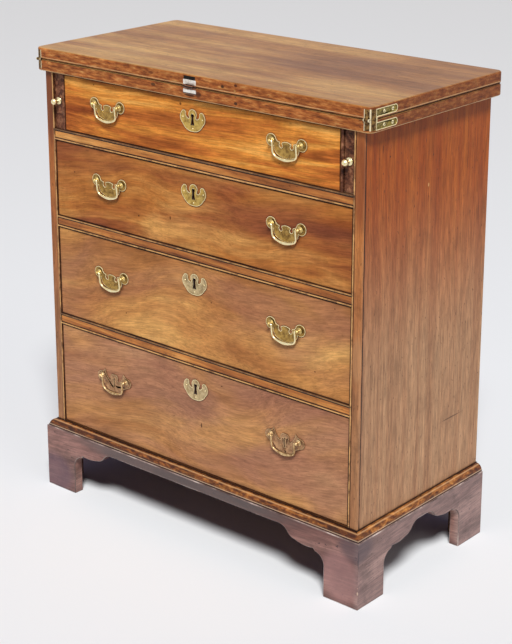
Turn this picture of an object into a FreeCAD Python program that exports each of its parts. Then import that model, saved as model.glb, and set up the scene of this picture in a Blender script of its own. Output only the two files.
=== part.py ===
import FreeCAD, Part
import math
import os

# A bachelor's chest: four graduated drawers under a folding top. The upper leaf turns forward on
# card-table hinges and rests on two lopers that slide out beside the top drawer.
# Millimetres. X runs to the right, Y to the back, Z up. The origin is on the floor, at the middle
# of the whole chest in plan.

vec = FreeCAD.Vector

# Carcase
carcase_width = 726.0
carcase_depth = 358.0
side_thickness = 16.0
housing_depth = 6.0          # rails, runners and bottom are let this far into the sides
facing_thickness = 4.0       # show-wood strips on the front edges
back_thickness = 8.0
back_board_count = 4
back_board_gap = 0.5
bottom_thickness = 14.0

# Drawer openings, top drawer first, and the rails between them
opening_heights = [105.0, 145.0, 172.0, 199.0]
rail_height = 21.0
rail_depth = 55.0
runner_width = 50.0
dust_board_thickness = 9.0
dust_board_groove = 8.0
bead_width = 3.0
bead_stand = 1.5             # the bead's round nose stands this far in front of the facings
guide_height = 14.0
loper_guide_height = 30.0

# Base
base_height = 124.0
base_projection = 16.0       # face of the bracket base in front of the carcase
base_board_thickness = 20.0
apron_underside = 106.0      # floor to the straight edge between the brackets
foot_width = 74.0
foot_rise = 58.0             # height of the straight inner edge of a foot
bracket_run = 101.0          # foot's inner edge to the start of the front apron
side_apron_flat = 24.0       # straight length of a side board's apron
rear_bracket_width = 92.0
rear_bracket_thickness = 18.0
rear_bracket_end = 20.0      # height of a rear bracket's inner end, and of its foot's inner edge
rear_bracket_hollow = 58.0   # the hollow's middle below the top of the base
rear_bracket_hollow_shift = 12.0
moulding_projection = 13.5
moulding_fillet = 2.0
glue_block_size = 24.0
glue_block_floor_gap = 3.0
strip_block_length = 60.0
strip_block_size = 16.0

# Top
leaf_thickness = 21.0
leaf_gap = 0.5
side_overhang = 18.0
front_overhang = 7.0
back_overhang = 8.0
leaf_corner_radius = 12.0
leaf_arris_radius = 3.0

# Hinges of the folding leaf
strap_thickness = 2.5
strap_length = 68.0
strap_width = 13.0
corner_plate_height = 17.0
corner_plate_width = 15.0
centre_plate_width = 29.0
centre_plate_height = 12.0
barrel_radius = 2.6
barrel_room = 0.4            # clearance round a barrel in the other half and in the wood
hinge_pin_radius = 1.1
hinge_pin_clearance = 0.05
knuckle_length = 3.5
knuckle_gap = 0.2

# Lopers
loper_thickness = 21.0
loper_back_room = 17.0       # free space behind a loper pushed in
loper_setback = 3.0
loper_side_clearance = 0.5
loper_height_clearance = 0.3
loper_held_length = 80.0     # what stays in the chest when a loper is drawn out
partition_thickness = 5.0
partition_setback = 0.5
stop_dowel_radius = 3.0
stop_dowel_from_end = 18.0
stop_dowel_hole_depth = 12.0
dowel_slot_clearance = 0.3
knob_length = 18.0
knob_ball_radius = 6.0
knob_flange_radius = 6.8
knob_flange_thickness = 2.0
knob_neck_radius = 2.6
knob_collar_radius = 5.2
knob_shank_radius = 2.2
knob_shank_length = 14.0
shank_clearance = 0.05

# Drawers
drawer_setback = 1.0
drawer_side_gap = 1.2
drawer_top_gap = 1.2
drawer_bottom_gap = 0.8
runner_clearance = 0.3
drawer_back_room = 14.0      # free space behind a closed drawer
front_thickness = 20.0
front_lap = 6.0              # wood left in front of the half-blind dovetails
drawer_side_thickness = 9.0
drawer_back_thickness = 9.0
side_top_drop = 3.0
back_top_drop = 8.0
panel_thickness = 6.0
panel_height = 7.0           # underside of the bottom panel above the foot of the sides
panel_groove = 4.5
tail_pitch = 34.0            # dovetails are spaced about this far apart
tail_share = 0.36            # half width of a tail's wide end, as a share of the spacing
tail_slope = math.radians(8.0)
stop_length = 18.0
stop_width = 30.0
stop_thickness = 4.0
stop_inset = 130.0           # drawer stop to the inner face of the carcase side

# Brasses
handle_centre = 206.0        # handle to the middle of the chest
handle_raises = [10.0, 15.0, 19.0, 23.0]   # posts above the middle of each drawer front
post_spacing = 61.0
post_stand = 8.0             # bail axis in front of the drawer front
post_ball_radius = 3.2
post_neck_radius = 2.4
post_collar_radius = 5.5
post_collar_thickness = 1.6
post_shank_radius = 2.0
nut_size = 10.0
nut_thickness = 3.0
shank_end = 1.0
plate_thickness = 1.5
wing_disc_centre = 32.0      # bat-wing plate: each end is a disc about this far from the middle
wing_disc_radius = 10.6
bail_wire_radius = 1.7
bail_middle_radius = 2.9
bail_pin_radius = 1.3
bail_pin_clearance = 0.05
bail_pin_depth = 1.0         # the pin ends this far past the middle of the ball
bail_arm_inset = 5.3         # bail arm inside the middle of its post
bail_bend_radius = 2.1
bail_arm_length = 14.2
bail_corner_radius = 9.7
bail_corner_turn = 69.0
bail_lean = 6.5              # a hanging bail leans back against its plate by this angle
bail_band_count = 10         # bands of the thickened grip
piercing_radius = 1.9        # the bottom drawer's plates are pierced: two holes joined by a slot
piercing_slot = 2.2
piercing_top = -1.0
piercing_bottom = -15.5
escutcheon_drops = [38.0, 43.0, 39.0, 44.0]   # plate's middle below the top of the opening
keyhole_raise = 8.5
keyhole_radius = 2.8
keyhole_slot_width = 3.4
keyhole_foot_width = 6.0
keyhole_slot_drop = 15.5
lock_width = 60.0
lock_height = 50.0
lock_depth = 10.0
selvage_thickness = 2.5
selvage_depth = 13.0
bolt_width = 18.0
bolt_depth = 5.0
bolt_length = 22.0
bolt_throw = 7.0
bolt_from_back = 3.0
bolt_clearance = 0.3

# Worked out from the sizes above
half_width = carcase_width / 2
inner_face = half_width - side_thickness
opening_edge = inner_face - bead_width
knob_reach = knob_length - loper_setback
front = -(carcase_depth + back_overhang - knob_reach) / 2
back = front + carcase_depth
back_board_front = back - back_thickness
core_front = front + facing_thickness
opening_floor = base_height + bottom_thickness
drawer_count = len(opening_heights)
carcase_top = opening_floor + sum(opening_heights) + rail_height * (drawer_count - 1)
joint_height = carcase_top + leaf_thickness + leaf_gap / 2
leaf_front = front - front_overhang
leaf_side = half_width + side_overhang
fold_axis_y = leaf_front - leaf_gap / 2
loper_length = back_board_front - loper_back_room - front - loper_setback
loper_travel = loper_length - loper_held_length
loper_outer = opening_edge - loper_side_clearance
loper_inner = loper_outer - loper_thickness
partition_outer = loper_inner - loper_side_clearance
partition_inner = partition_outer - partition_thickness
drawer_face = front + drawer_setback
front_board_back = drawer_face + front_thickness
drawer_back_face = back_board_front - drawer_back_room


def opening_span(number):
    # Bottom and top of a drawer opening; number 0 is the top drawer.
    top = carcase_top - sum(opening_heights[:number]) - rail_height * number
    return top - opening_heights[number], top


def rail_spans():
    # Bottom and top of each rail, from the top one down.
    return [(opening_span(i)[0] - rail_height, opening_span(i)[0]) for i in range(drawer_count - 1)]


def block(x0, x1, y0, y1, z0, z1):
    return Part.makeBox(x1 - x0, y1 - y0, z1 - z0, vec(x0, y0, z0))


def rod(radius, start, end):
    axis = end - start
    return Part.makeCylinder(radius, axis.Length, start, axis)


def mirrored(shape):
    return shape.mirror(vec(0, 0, 0), vec(1, 0, 0))


def pair(shape):
    return [mirrored(shape), shape]


def joined(shapes):
    return shapes[0].multiFuse(shapes[1:]).removeSplitter()


def plan_prism(points, z0, z1):
    corners = [vec(x, y, z0) for x, y in points]
    outline = Part.makePolygon(corners + corners[:1])
    return Part.Face(outline).extrude(vec(0, 0, z1 - z0))


def trace(start, steps, place):
    # Edges through the steps: one point for a line, a middle and an end point for an arc.
    edges = []
    here = place(*start)
    for step in steps:
        points = [place(*p) for p in step]
        if len(points) == 1:
            edges.append(Part.LineSegment(here, points[0]).toShape())
        else:
            edges.append(Part.Arc(here, points[0], points[1]).toShape())
        here = points[-1]
    return edges


def face_of(edges):
    return Part.Face(Part.Wire(Part.__sortEdges__(edges)))


# ---------------------------------------------------------------- carcase

def carcase_side():
    board = block(inner_face, half_width, core_front, back, base_height, carcase_top)
    housing_back = inner_face + housing_depth
    cuts = [block(inner_face, housing_back, core_front, back, z0, z1) for z0, z1 in rail_spans()]
    cuts.append(block(inner_face, housing_back, core_front, back, base_height, opening_floor))
    rebate_side = inner_face + side_thickness / 2
    cuts.append(block(inner_face, rebate_side, back_board_front, back, base_height, carcase_top))
    return board.cut(cuts)


def carcase_bottom():
    reach = inner_face + housing_depth
    return block(-reach, reach, core_front, back_board_front, base_height, opening_floor)


def bolt_mortise(number, room=0.0):
    # Space for a raised lock bolt above a drawer.
    top = opening_span(number)[1]
    y1 = front_board_back - bolt_from_back + room
    y0 = front_board_back - bolt_from_back - bolt_depth - room
    half = bolt_width / 2 + room
    return block(-half, half, y0, y1, top, top + bolt_throw)


def drawer_rails():
    reach = inner_face + housing_depth
    rails = []
    for i, (z0, z1) in enumerate(rail_spans()):
        rail = block(-reach, reach, core_front, core_front + rail_depth, z0, z1)
        rails.append(rail.cut([dust_board(z0, z1), bolt_mortise(i + 1, bolt_clearance)]))
    return rails


def runner_inner():
    return inner_face + housing_depth - runner_width


def dust_board(z0, z1):
    reach = runner_inner() + dust_board_groove
    middle = (z0 + z1) / 2
    y0 = core_front + rail_depth - dust_board_groove
    half = dust_board_thickness / 2
    return block(-reach, reach, y0, back_board_front, middle - half, middle + half)


def runners_and_guides():
    solids = []
    y0 = core_front + rail_depth
    for z0, z1 in rail_spans():
        runner = block(runner_inner(), inner_face + housing_depth, y0, back_board_front, z0, z1)
        solids += pair(runner.cut(dust_board(z0, z1)))
    for i in range(drawer_count):
        floor = opening_span(i)[0]
        height = guide_height
        if i == 0:
            floor += (opening_heights[0] - loper_guide_height) / 2
            height = loper_guide_height
        guide = block(opening_edge, inner_face, core_front, back_board_front, floor, floor + height)
        solids += pair(guide)
    return solids


def front_facings():
    solids = pair(block(inner_face, half_width, front, core_front, base_height, carcase_top))
    for z0, z1 in rail_spans():
        z0, z1 = z0 + bead_width, z1 - bead_width
        solids.append(block(-opening_edge, opening_edge, front, core_front, z0, z1))
    solids.append(block(-inner_face, inner_face, front, core_front, base_height, opening_floor))
    return solids


def cockbeads():
    # Half-round beads: two uprights, and one along each edge of each rail.
    radius = bead_width / 2
    nose = front - bead_stand
    upright = block(opening_edge, inner_face, nose + radius, core_front, opening_floor, carcase_top)
    middle = opening_edge + radius
    upright_nose = rod(radius, vec(middle, nose + radius, opening_floor),
                       vec(middle, nose + radius, carcase_top))
    solids = pair(joined([upright, upright_nose]))
    for z0, z1 in rail_spans():
        for low in (z0, z1 - bead_width):
            strip = block(-opening_edge, opening_edge, nose + radius, core_front, low, low + bead_width)
            line = low + radius
            round_edge = rod(radius, vec(-opening_edge, nose + radius, line),
                             vec(opening_edge, nose + radius, line))
            solids.append(joined([strip, round_edge]))
    return solids


def back_boards():
    half = inner_face + side_thickness / 2
    height = (carcase_top - base_height - back_board_gap * (back_board_count - 1)) / back_board_count
    boards = []
    for i in range(back_board_count):
        z0 = base_height + i * (height + back_board_gap)
        boards.append(block(-half, half, back_board_front, back, z0, z0 + height))
    return boards


def dowel_rest():
    # Middle of a loper's stop dowel with the loper pushed in: y and z.
    floor, top = opening_span(0)
    y = front + loper_setback + loper_length - stop_dowel_from_end
    return y, (floor + top) / 2


def loper_partitions():
    floor, top = opening_span(0)
    board = block(partition_inner, partition_outer, front + partition_setback, back_board_front,
                  floor, top)
    y, z = dowel_rest()
    radius = stop_dowel_radius + dowel_slot_clearance
    start = vec(partition_inner, y, z)
    across = vec(partition_thickness, 0, 0)
    forward = vec(0, -loper_travel, 0)
    slot = joined([
        rod(radius, start, start + across),
        rod(radius, start + forward, start + forward + across),
        block(partition_inner, partition_outer, y - loper_travel, y, z - radius, z + radius),
    ])
    return pair(board.cut(slot))


def drawer_stops():
    solids = []
    y0 = front_board_back + runner_clearance
    x0 = inner_face - stop_inset - stop_width
    for i in range(drawer_count):
        floor = opening_span(i)[0]
        stop = block(x0, x0 + stop_width, y0, y0 + stop_length, floor, floor + stop_thickness)
        solids += pair(stop)
    return solids


# ---------------------------------------------------------------- base

def bracket_steps(edge, inward, run, top):
    # Cut-out beside one foot, from the floor up to the apron. edge is the foot's inner edge and
    # inward is +1 or -1 towards the middle of the board. The curves stretch to fill the run.
    def at(u, z):
        return edge + inward * u * run / bracket_run, z
    return [
        [at(0, foot_rise)],
        [at(6.0, foot_rise + 15.0), at(20.0, foot_rise + 21.5)],
        [at(23.0, foot_rise + 26.0)],
        [at(43.0, foot_rise + 24.5), at(62.0, foot_rise + 28.0)],
        [at(72.0, foot_rise + 31.0), at(79.0, foot_rise + 36.5)],
        [at(87.0, top - 3.5), at(bracket_run, top)],
    ]


def reversed_steps(start, steps):
    # The same cut-out drawn from the apron back down to the floor.
    points = [start] + [step[-1] for step in steps]
    back_steps = []
    for i in range(len(steps) - 1, -1, -1):
        middle = steps[i][:-1]
        back_steps.append(middle + [points[i]])
    return points[-1], back_steps


def bracket_board(low, high, run, place):
    # Outline of a base board with a shaped bracket beside each foot.
    left, right = low + foot_width, high - foot_width
    rise = bracket_steps(left, 1, run, apron_underside)
    fall_start, fall = reversed_steps((right, 0), bracket_steps(right, -1, run, apron_underside))
    steps = [[(left, 0)]] + rise + [[fall_start]] + fall
    steps += [[(high, 0)], [(high, base_height)], [(low, base_height)], [(low, 0)]]
    return face_of(trace((low, 0), steps, place))


def bracket_base():
    outer = half_width + base_projection
    inner = outer - base_board_thickness
    face_y = front - base_projection
    inner_y = face_y + base_board_thickness
    front_board = bracket_board(-outer, outer, bracket_run, lambda u, z: vec(u, face_y, z))
    front_board = front_board.extrude(vec(0, base_board_thickness, 0))
    mitred = [(-outer, face_y), (outer, face_y), (inner, inner_y), (-inner, inner_y)]
    front_board = front_board.common(plan_prism(mitred, 0, base_height))
    run = (back - face_y - 2 * foot_width - side_apron_flat) / 2
    side_board = bracket_board(face_y, back, run, lambda u, z: vec(inner, u, z))
    side_board = side_board.extrude(vec(base_board_thickness, 0, 0))
    mitred = [(outer, face_y), (outer, back), (inner, back), (inner, inner_y)]
    side_board = side_board.common(plan_prism(mitred, 0, base_height))
    return [front_board] + pair(side_board)


def rear_brackets():
    # Plain brackets between the back of the side boards, hollowed in one sweep.
    outer = half_width + base_projection - base_board_thickness
    inner = outer - rear_bracket_width
    y0 = back - rear_bracket_thickness
    corner = inner + rear_bracket_width - foot_width / 2
    bend = ((inner + corner) / 2 + rear_bracket_hollow_shift, base_height - rear_bracket_hollow)
    steps = [[(outer, base_height)], [(inner, base_height)], [(inner, base_height - rear_bracket_end)],
             [bend, (corner, rear_bracket_end)], [(corner, 0)], [(outer, 0)]]
    outline = face_of(trace((outer, 0), steps, lambda u, z: vec(u, y0, z)))
    return pair(outline.extrude(vec(0, rear_bracket_thickness, 0)))


def glue_blocks():
    outer = half_width + base_projection - base_board_thickness
    y_front = front - base_projection + base_board_thickness
    y_back = back - rear_bracket_thickness
    size = glue_block_size
    posts = [
        block(outer - size, outer, y_front, y_front + size, glue_block_floor_gap, base_height),
        block(outer - size, outer, y_back - size, y_back, glue_block_floor_gap, base_height),
    ]
    low = base_height - strip_block_size
    middle_y = (front + back) / 2
    half = strip_block_length / 2
    posts.append(block(outer - strip_block_size, outer, middle_y - half, middle_y + half, low,
                       base_height))
    solids = [solid for post in posts for solid in pair(post)]
    for x in (-carcase_width / 4, 0, carcase_width / 4):
        solids.append(block(x - half, x + half, y_front, y_front + strip_block_size, low, base_height))
    return solids


def moulding_face(place):
    # Section: a thin top fillet, a full round and a lower fillet. u is the stand from the carcase.
    top = base_height + moulding_height()
    steps = [
        [(moulding_fillet, top)],
        [(moulding_fillet, top - 1.5)],
        [(moulding_projection - 3.6, top - 5.4), (moulding_projection - 1.0, base_height + 2.5)],
        [(moulding_projection, base_height + 2.0)],
        [(moulding_projection, base_height)],
        [(0, base_height)],
        [(0, top)],
    ]
    return face_of(trace((0, top), steps, place))


def moulding_height():
    return bottom_thickness


def base_mouldings():
    outer = half_width + moulding_projection
    face_y = front - moulding_projection
    top = base_height + moulding_height()
    front_piece = moulding_face(lambda u, z: vec(-outer, front - u, z)).extrude(vec(2 * outer, 0, 0))
    mitred = [(-outer, face_y), (outer, face_y), (half_width, front), (-half_width, front)]
    front_piece = front_piece.common(plan_prism(mitred, base_height, top))
    side_piece = moulding_face(lambda u, z: vec(half_width + u, face_y, z))
    side_piece = side_piece.extrude(vec(0, back - face_y, 0))
    mitred = [(outer, face_y), (outer, back), (half_width, back), (half_width, front)]
    side_piece = side_piece.common(plan_prism(mitred, base_height, top))
    return [front_piece] + pair(side_piece)


# ---------------------------------------------------------------- folding top

def leaf_prism(z0, z1, inset):
    # The leaf's outline with rounded corners, drawn in from its edge by inset.
    x = leaf_side - inset
    prism = block(-x, x, leaf_front + inset, back + back_overhang - inset, z0, z1)
    uprights = [e for e in prism.Edges if abs(e.Vertexes[0].X - e.Vertexes[1].X) < 1e-6
                and abs(e.Vertexes[0].Y - e.Vertexes[1].Y) < 1e-6]
    return prism.makeFillet(leaf_corner_radius - inset, uprights)


def leaf_board(z0):
    prism = leaf_prism(z0, z0 + leaf_thickness, 0)
    rims = [e for e in prism.Edges if abs(e.BoundBox.ZLength) < 1e-6]
    return prism.makeFillet(leaf_arris_radius, rims)


def knuckles(middle, length, moving):
    # Spans along X of one half's barrels: the fixed half has the outer two, the moving half one.
    step = length + knuckle_gap
    places = [0] if moving else [-1, 1]
    return [(middle + i * step - length / 2, middle + i * step + length / 2) for i in places]


def barrels(spans, radius, ease=0.0):
    axis_y, z = fold_axis_y, joint_height
    return [rod(radius, vec(x0 - ease, axis_y, z), vec(x1 + ease, axis_y, z)) for x0, x1 in spans]


def hinge_places():
    # Middle of each barrel along X and the length of one knuckle.
    side = leaf_side - corner_plate_width + 1.5 * knuckle_length + knuckle_gap
    return [(-side, knuckle_length), (0.0, centre_plate_width / 5), (side, knuckle_length)]


def plate_region(index, z0, upward):
    # Where a hinge plate lies in the leaf's edge: z0 is the leaf's face at the joint.
    def band(low, high):
        return (z0 + low, z0 + high) if upward else (z0 - high, z0 - low)
    if index == 1:
        half = centre_plate_width / 2
        low, high = band(0, centre_plate_height)
        return block(-half, half, leaf_front, leaf_front + strap_thickness, low, high)
    low, high = band(0, corner_plate_height)
    corner = block(leaf_side - corner_plate_width, leaf_side, leaf_front,
                   leaf_front + corner_plate_width, low, high)
    middle = leaf_thickness / 2
    low, high = band(middle - strap_width / 2, middle + strap_width / 2)
    y1 = leaf_front + strap_length
    strap = block(leaf_side - strap_thickness, leaf_side, leaf_front + leaf_corner_radius, y1, low, high)
    ends = [e for e in strap.Edges if abs(e.BoundBox.XLength - strap_thickness) < 1e-6
            and e.BoundBox.YMin > y1 - 1e-6]
    strap = strap.makeFillet(strap_width / 2 - 0.5, ends)
    region = joined([corner, strap])
    return mirrored(region) if index == 0 else region


def hinge_plates(upward):
    # The three half hinges of one leaf: left corner, centre and right corner.
    z0 = joint_height + leaf_gap / 2 if upward else joint_height - leaf_gap / 2
    low, high = (z0, z0 + leaf_thickness) if upward else (z0 - leaf_thickness, z0)
    skin = leaf_prism(low, high, 0).cut(leaf_prism(low, high, strap_thickness))
    plates = []
    for index, (middle, length) in enumerate(hinge_places()):
        plate = skin.common(plate_region(index, z0, upward))
        own = knuckles(middle, length, upward)
        other = knuckles(middle, length, not upward)
        plate = joined([plate] + barrels(own, barrel_radius))
        plate = plate.cut(barrels(other, barrel_radius + barrel_room, knuckle_gap / 2))
        bore = barrels([pin_span(middle, length)], hinge_pin_radius + hinge_pin_clearance, 1.0)
        plates.append(plate.cut(bore))
    return plates


def pin_span(middle, length):
    half = 1.5 * length + knuckle_gap
    return middle - half, middle + half


def hinge_pins():
    spans = [pin_span(middle, length) for middle, length in hinge_places()]
    return barrels(spans, hinge_pin_radius)


def leaf_with_hinges(z0, upward):
    spans = [pin_span(middle, length) for middle, length in hinge_places()]
    room = barrels(spans, barrel_radius + barrel_room, knuckle_gap)
    board = leaf_board(z0).cut(hinge_plates(upward)).cut(room)
    return board


def lower_leaf():
    return leaf_with_hinges(carcase_top, False).cut(bolt_mortise(0, bolt_clearance))


def upper_leaf():
    return leaf_with_hinges(joint_height + leaf_gap / 2, True)


# ---------------------------------------------------------------- lopers

def knob_axis():
    floor, top = opening_span(0)
    return (loper_inner + loper_outer) / 2, (floor + top) / 2


def loper_knob():
    x, z = knob_axis()
    face = front + loper_setback
    ball_y = face - knob_length + knob_ball_radius
    parts = [
        rod(knob_shank_radius, vec(x, face + knob_shank_length, z), vec(x, face, z)),
        rod(knob_flange_radius, vec(x, face, z), vec(x, face - knob_flange_thickness, z)),
        rod(knob_neck_radius, vec(x, face, z), vec(x, ball_y, z)),
        Part.makeSphere(knob_ball_radius, vec(x, ball_y, z)),
    ]
    collar_y = face - knob_flange_thickness
    collar = Part.makeCone(knob_collar_radius, knob_neck_radius, knob_flange_thickness,
                           vec(x, collar_y, z), vec(0, -1, 0))
    return joined(parts + [collar])


def loper():
    floor, top = opening_span(0)
    face = front + loper_setback
    bar = block(loper_inner, loper_outer, face, face + loper_length,
                floor + loper_height_clearance, top - loper_height_clearance)
    x, z = knob_axis()
    hole = rod(knob_shank_radius + shank_clearance, vec(x, face, z),
               vec(x, face + knob_shank_length + 1.0, z))
    y, z = dowel_rest()
    dowel = rod(stop_dowel_radius, vec(partition_inner + dowel_slot_clearance, y, z),
                vec(loper_inner + stop_dowel_hole_depth, y, z))
    return [bar.cut([hole, dowel]), dowel]


# ---------------------------------------------------------------- drawers

def drawer_half(number):
    edge = partition_inner if number == 0 else opening_edge
    return edge - drawer_side_gap


def tail_places(z0, z1):
    count = max(2, round((z1 - z0) / tail_pitch))
    pitch = (z1 - z0) / count
    return [(z0 + pitch * (i + 0.5), pitch * tail_share) for i in range(count)]


def tails(x0, x1, y_root, y_end, z0, z1):
    # Dovetails growing wider from their root to their end.
    solids = []
    flare = abs(y_end - y_root) * math.tan(tail_slope)
    for middle, wide in tail_places(z0, z1):
        narrow = wide - flare
        corners = [vec(x0, y_root, middle - narrow), vec(x0, y_end, middle - wide),
                   vec(x0, y_end, middle + wide), vec(x0, y_root, middle + narrow)]
        outline = Part.Face(Part.makePolygon(corners + corners[:1]))
        solids.append(outline.extrude(vec(x1 - x0, 0, 0)))
    return solids


def drawer_levels(number):
    # Heights of a drawer's pieces: foot of the sides, panel's underside and top of the sides.
    floor, top = opening_span(number)
    foot = floor + runner_clearance
    return foot, foot + panel_height, top - drawer_top_gap - side_top_drop


def drawer_bottom(number):
    reach = drawer_half(number) - drawer_side_thickness + panel_groove
    z0 = drawer_levels(number)[1]
    y0 = front_board_back - panel_groove
    return block(-reach, reach, y0, drawer_back_face, z0, z0 + panel_thickness)


def drawer_side(number):
    foot, _, head = drawer_levels(number)
    outer = drawer_half(number)
    inner = outer - drawer_side_thickness
    root_back = drawer_back_face - drawer_back_thickness
    parts = [block(inner, outer, front_board_back, root_back, foot, head)]
    parts += tails(inner, outer, front_board_back, drawer_face + front_lap, foot, head)
    parts += tails(inner, outer, root_back, drawer_back_face, foot, head)
    return joined(parts).cut(drawer_bottom(number))


def drawer_box(number):
    sides = pair(drawer_side(number))
    _, panel, head = drawer_levels(number)
    outer = drawer_half(number)
    board = block(-outer, outer, drawer_back_face - drawer_back_thickness, drawer_back_face,
                  panel + panel_thickness, head - back_top_drop)
    return sides + [board.cut(sides)]


def handle_height(number):
    floor, top = opening_span(number)
    return (floor + top) / 2 + handle_raises[number]


def post_places(number):
    z = handle_height(number)
    half = post_spacing / 2
    return [(side * handle_centre + end * half, z, end) for side in (-1, 1) for end in (-1, 1)]


def keyhole(number, y0, y1):
    # A round head over a slot that widens towards its foot.
    z = opening_span(number)[1] - escutcheon_drops[number] + keyhole_raise
    head = rod(keyhole_radius, vec(0, y0, z), vec(0, y1, z))
    top, foot = keyhole_slot_width / 2, keyhole_foot_width / 2
    low, waist = z - keyhole_slot_drop, z - keyhole_slot_drop / 2
    corners = [vec(-top, y0, z), vec(-top, y0, waist), vec(-foot, y0, low), vec(foot, y0, low),
               vec(top, y0, waist), vec(top, y0, z)]
    slot = Part.Face(Part.makePolygon(corners + corners[:1])).extrude(vec(0, y1 - y0, 0))
    return joined([head, slot])


def lock_space(number):
    top = opening_span(number)[1] - drawer_top_gap
    half = lock_width / 2
    case = block(-half, half, front_board_back - lock_depth, front_board_back, top - lock_height, top)
    edge = block(-half, half, front_board_back - selvage_depth, front_board_back,
                 top - selvage_thickness, top)
    return joined([case, edge])


def drawer_lock(number):
    # Half-mortised lock with its bolt drawn down, level with the top of the drawer front.
    top = opening_span(number)[1] - drawer_top_gap
    half = bolt_width / 2
    y1 = front_board_back - bolt_from_back
    bolt = block(-half, half, y1 - bolt_depth, y1, top - bolt_length, top)
    return [lock_space(number).cut(bolt), bolt]


def drawer_front(number):
    floor, top = opening_span(number)
    outer = drawer_half(number)
    board = block(-outer, outer, drawer_face, front_board_back,
                  floor + drawer_bottom_gap, top - drawer_top_gap)
    cuts = pair(drawer_side(number)) + [drawer_bottom(number), lock_space(number)]
    cuts.append(keyhole(number, drawer_face, front_board_back - lock_depth))
    for x, z, _ in post_places(number):
        cuts.append(rod(post_shank_radius + shank_clearance, vec(x, drawer_face, z),
                        vec(x, front_board_back, z)))
    return board.cut(cuts)


# ---------------------------------------------------------------- brasses

def symmetric_plate(start, steps, place):
    right = trace(start, steps, lambda u, w: vec(u, 0, w))
    left = [mirrored(edge) for edge in right]
    plate = face_of(right + left).extrude(vec(0, -plate_thickness, 0))
    plate.translate(place)
    return plate


def disc_point(degrees):
    angle = math.radians(degrees)
    return (wing_disc_centre + wing_disc_radius * math.cos(angle), wing_disc_radius * math.sin(angle))


def bat_wing_outline():
    # Right half, from the bottom up to the middle lobe; post height is zero.
    return (0, -27.0), [
        [(11.0, -26.0), (20.5, -22.0)],
        [(24.9, -16.5), disc_point(-118)],
        [disc_point(16), disc_point(150)],
        [(20.4, 1.0), (16.8, -0.6)],
        [(14.3, -1.8), (14.6, -4.4)],
        [(13.6, -9.0), (10.6, -10.4)],
        [(8.4, -8.4), (8.6, -5.0)],
        [(9.9, -2.7), (7.8, -0.9)],
        [(4.0, 0.4), (0, 0.8)],
    ]


def pointed_wing_outline():
    # The bottom drawer's plates: sharp wing tips, a big middle lobe and a pendant point.
    return (0, -30.0), [
        [(1.2, -28.2), (3.6, -27.0)],
        [(16.0, -24.4), (24.5, -16.0)],
        [(30.5, -13.4), (37.5, -10.5)],
        [(43.0, -1.0), (35.5, 7.0)],
        [(28.6, 8.4), (23.8, 13.5)],
        [(20.2, 3.0), (12.2, -6.0)],
        [(8.9, -4.2), (9.2, -0.8)],
        [(7.2, 5.9), (0, 7.6)],
    ]


def piercing(place):
    # The keyhole-like opening in the middle of a pointed plate.
    through = vec(0, -plate_thickness, 0)
    ends = [place + vec(0, 0, z) for z in (piercing_top, piercing_bottom)]
    half = piercing_slot / 2
    slot = block(place.x - half, place.x + half, place.y - plate_thickness, place.y,
                 ends[1].z, ends[0].z)
    return joined([rod(piercing_radius, end, end + through) for end in ends] + [slot])


def escutcheon_outline():
    # Heart-shaped plate with two ears and a round-headed middle.
    return (0, -19.0), [
        [(13.5, -16.4), (23.0, -7.0)],
        [(28.6, 4.5), (24.5, 14.0)],
        [(19.6, 16.2), (15.8, 12.4)],
        [(14.8, 6.4), (9.4, 3.0)],
        [(7.6, 4.4), (8.3, 7.0)],
        [(7.5, 15.5), (0, 19.5)],
    ]


def handle_plates(number):
    pointed = number == drawer_count - 1
    start, steps = pointed_wing_outline() if pointed else bat_wing_outline()
    z = handle_height(number)
    plates = []
    for side in (-1, 1):
        place = vec(side * handle_centre, drawer_face, z)
        plate = symmetric_plate(start, steps, place)
        for end in (-1, 1):
            x = side * handle_centre + end * post_spacing / 2
            plate = plate.cut(rod(post_shank_radius + shank_clearance,
                                  vec(x, drawer_face - plate_thickness, z), vec(x, drawer_face, z)))
        plates.append(plate.cut(piercing(place)) if pointed else plate)
    return plates


def escutcheon(number):
    z = opening_span(number)[1] - escutcheon_drops[number]
    start, steps = escutcheon_outline()
    plate = symmetric_plate(start, steps, vec(0, drawer_face, z))
    return plate.cut(keyhole(number, drawer_face - plate_thickness, drawer_face))


def bail_axis_y():
    return drawer_face - post_stand


def handle_posts(number):
    # Ball-headed posts bolted through the front, each with a square nut inside the drawer.
    solids = []
    plate_y = drawer_face - plate_thickness
    collar_y = plate_y - post_collar_thickness
    axis_y = bail_axis_y()
    nut_end = front_board_back + nut_thickness
    for x, z, end in post_places(number):
        post = joined([
            rod(post_shank_radius, vec(x, nut_end + shank_end, z), vec(x, plate_y, z)),
            rod(post_collar_radius, vec(x, plate_y, z), vec(x, collar_y, z)),
            rod(post_neck_radius, vec(x, plate_y, z), vec(x, axis_y, z)),
            Part.makeSphere(post_ball_radius, vec(x, axis_y, z)),
        ])
        hole = rod(bail_pin_radius + bail_pin_clearance,
                   vec(x + end * (bail_pin_depth + bail_pin_clearance), axis_y, z),
                   vec(x - end * 2 * post_ball_radius, axis_y, z))
        half = nut_size / 2
        nut = block(x - half, x + half, front_board_back, nut_end, z - half, z + half)
        nut = nut.cut(rod(post_shank_radius + shank_clearance, vec(x, front_board_back, z),
                          vec(x, nut_end, z)))
        solids += [post.cut(hole), nut]
    return solids


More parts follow.
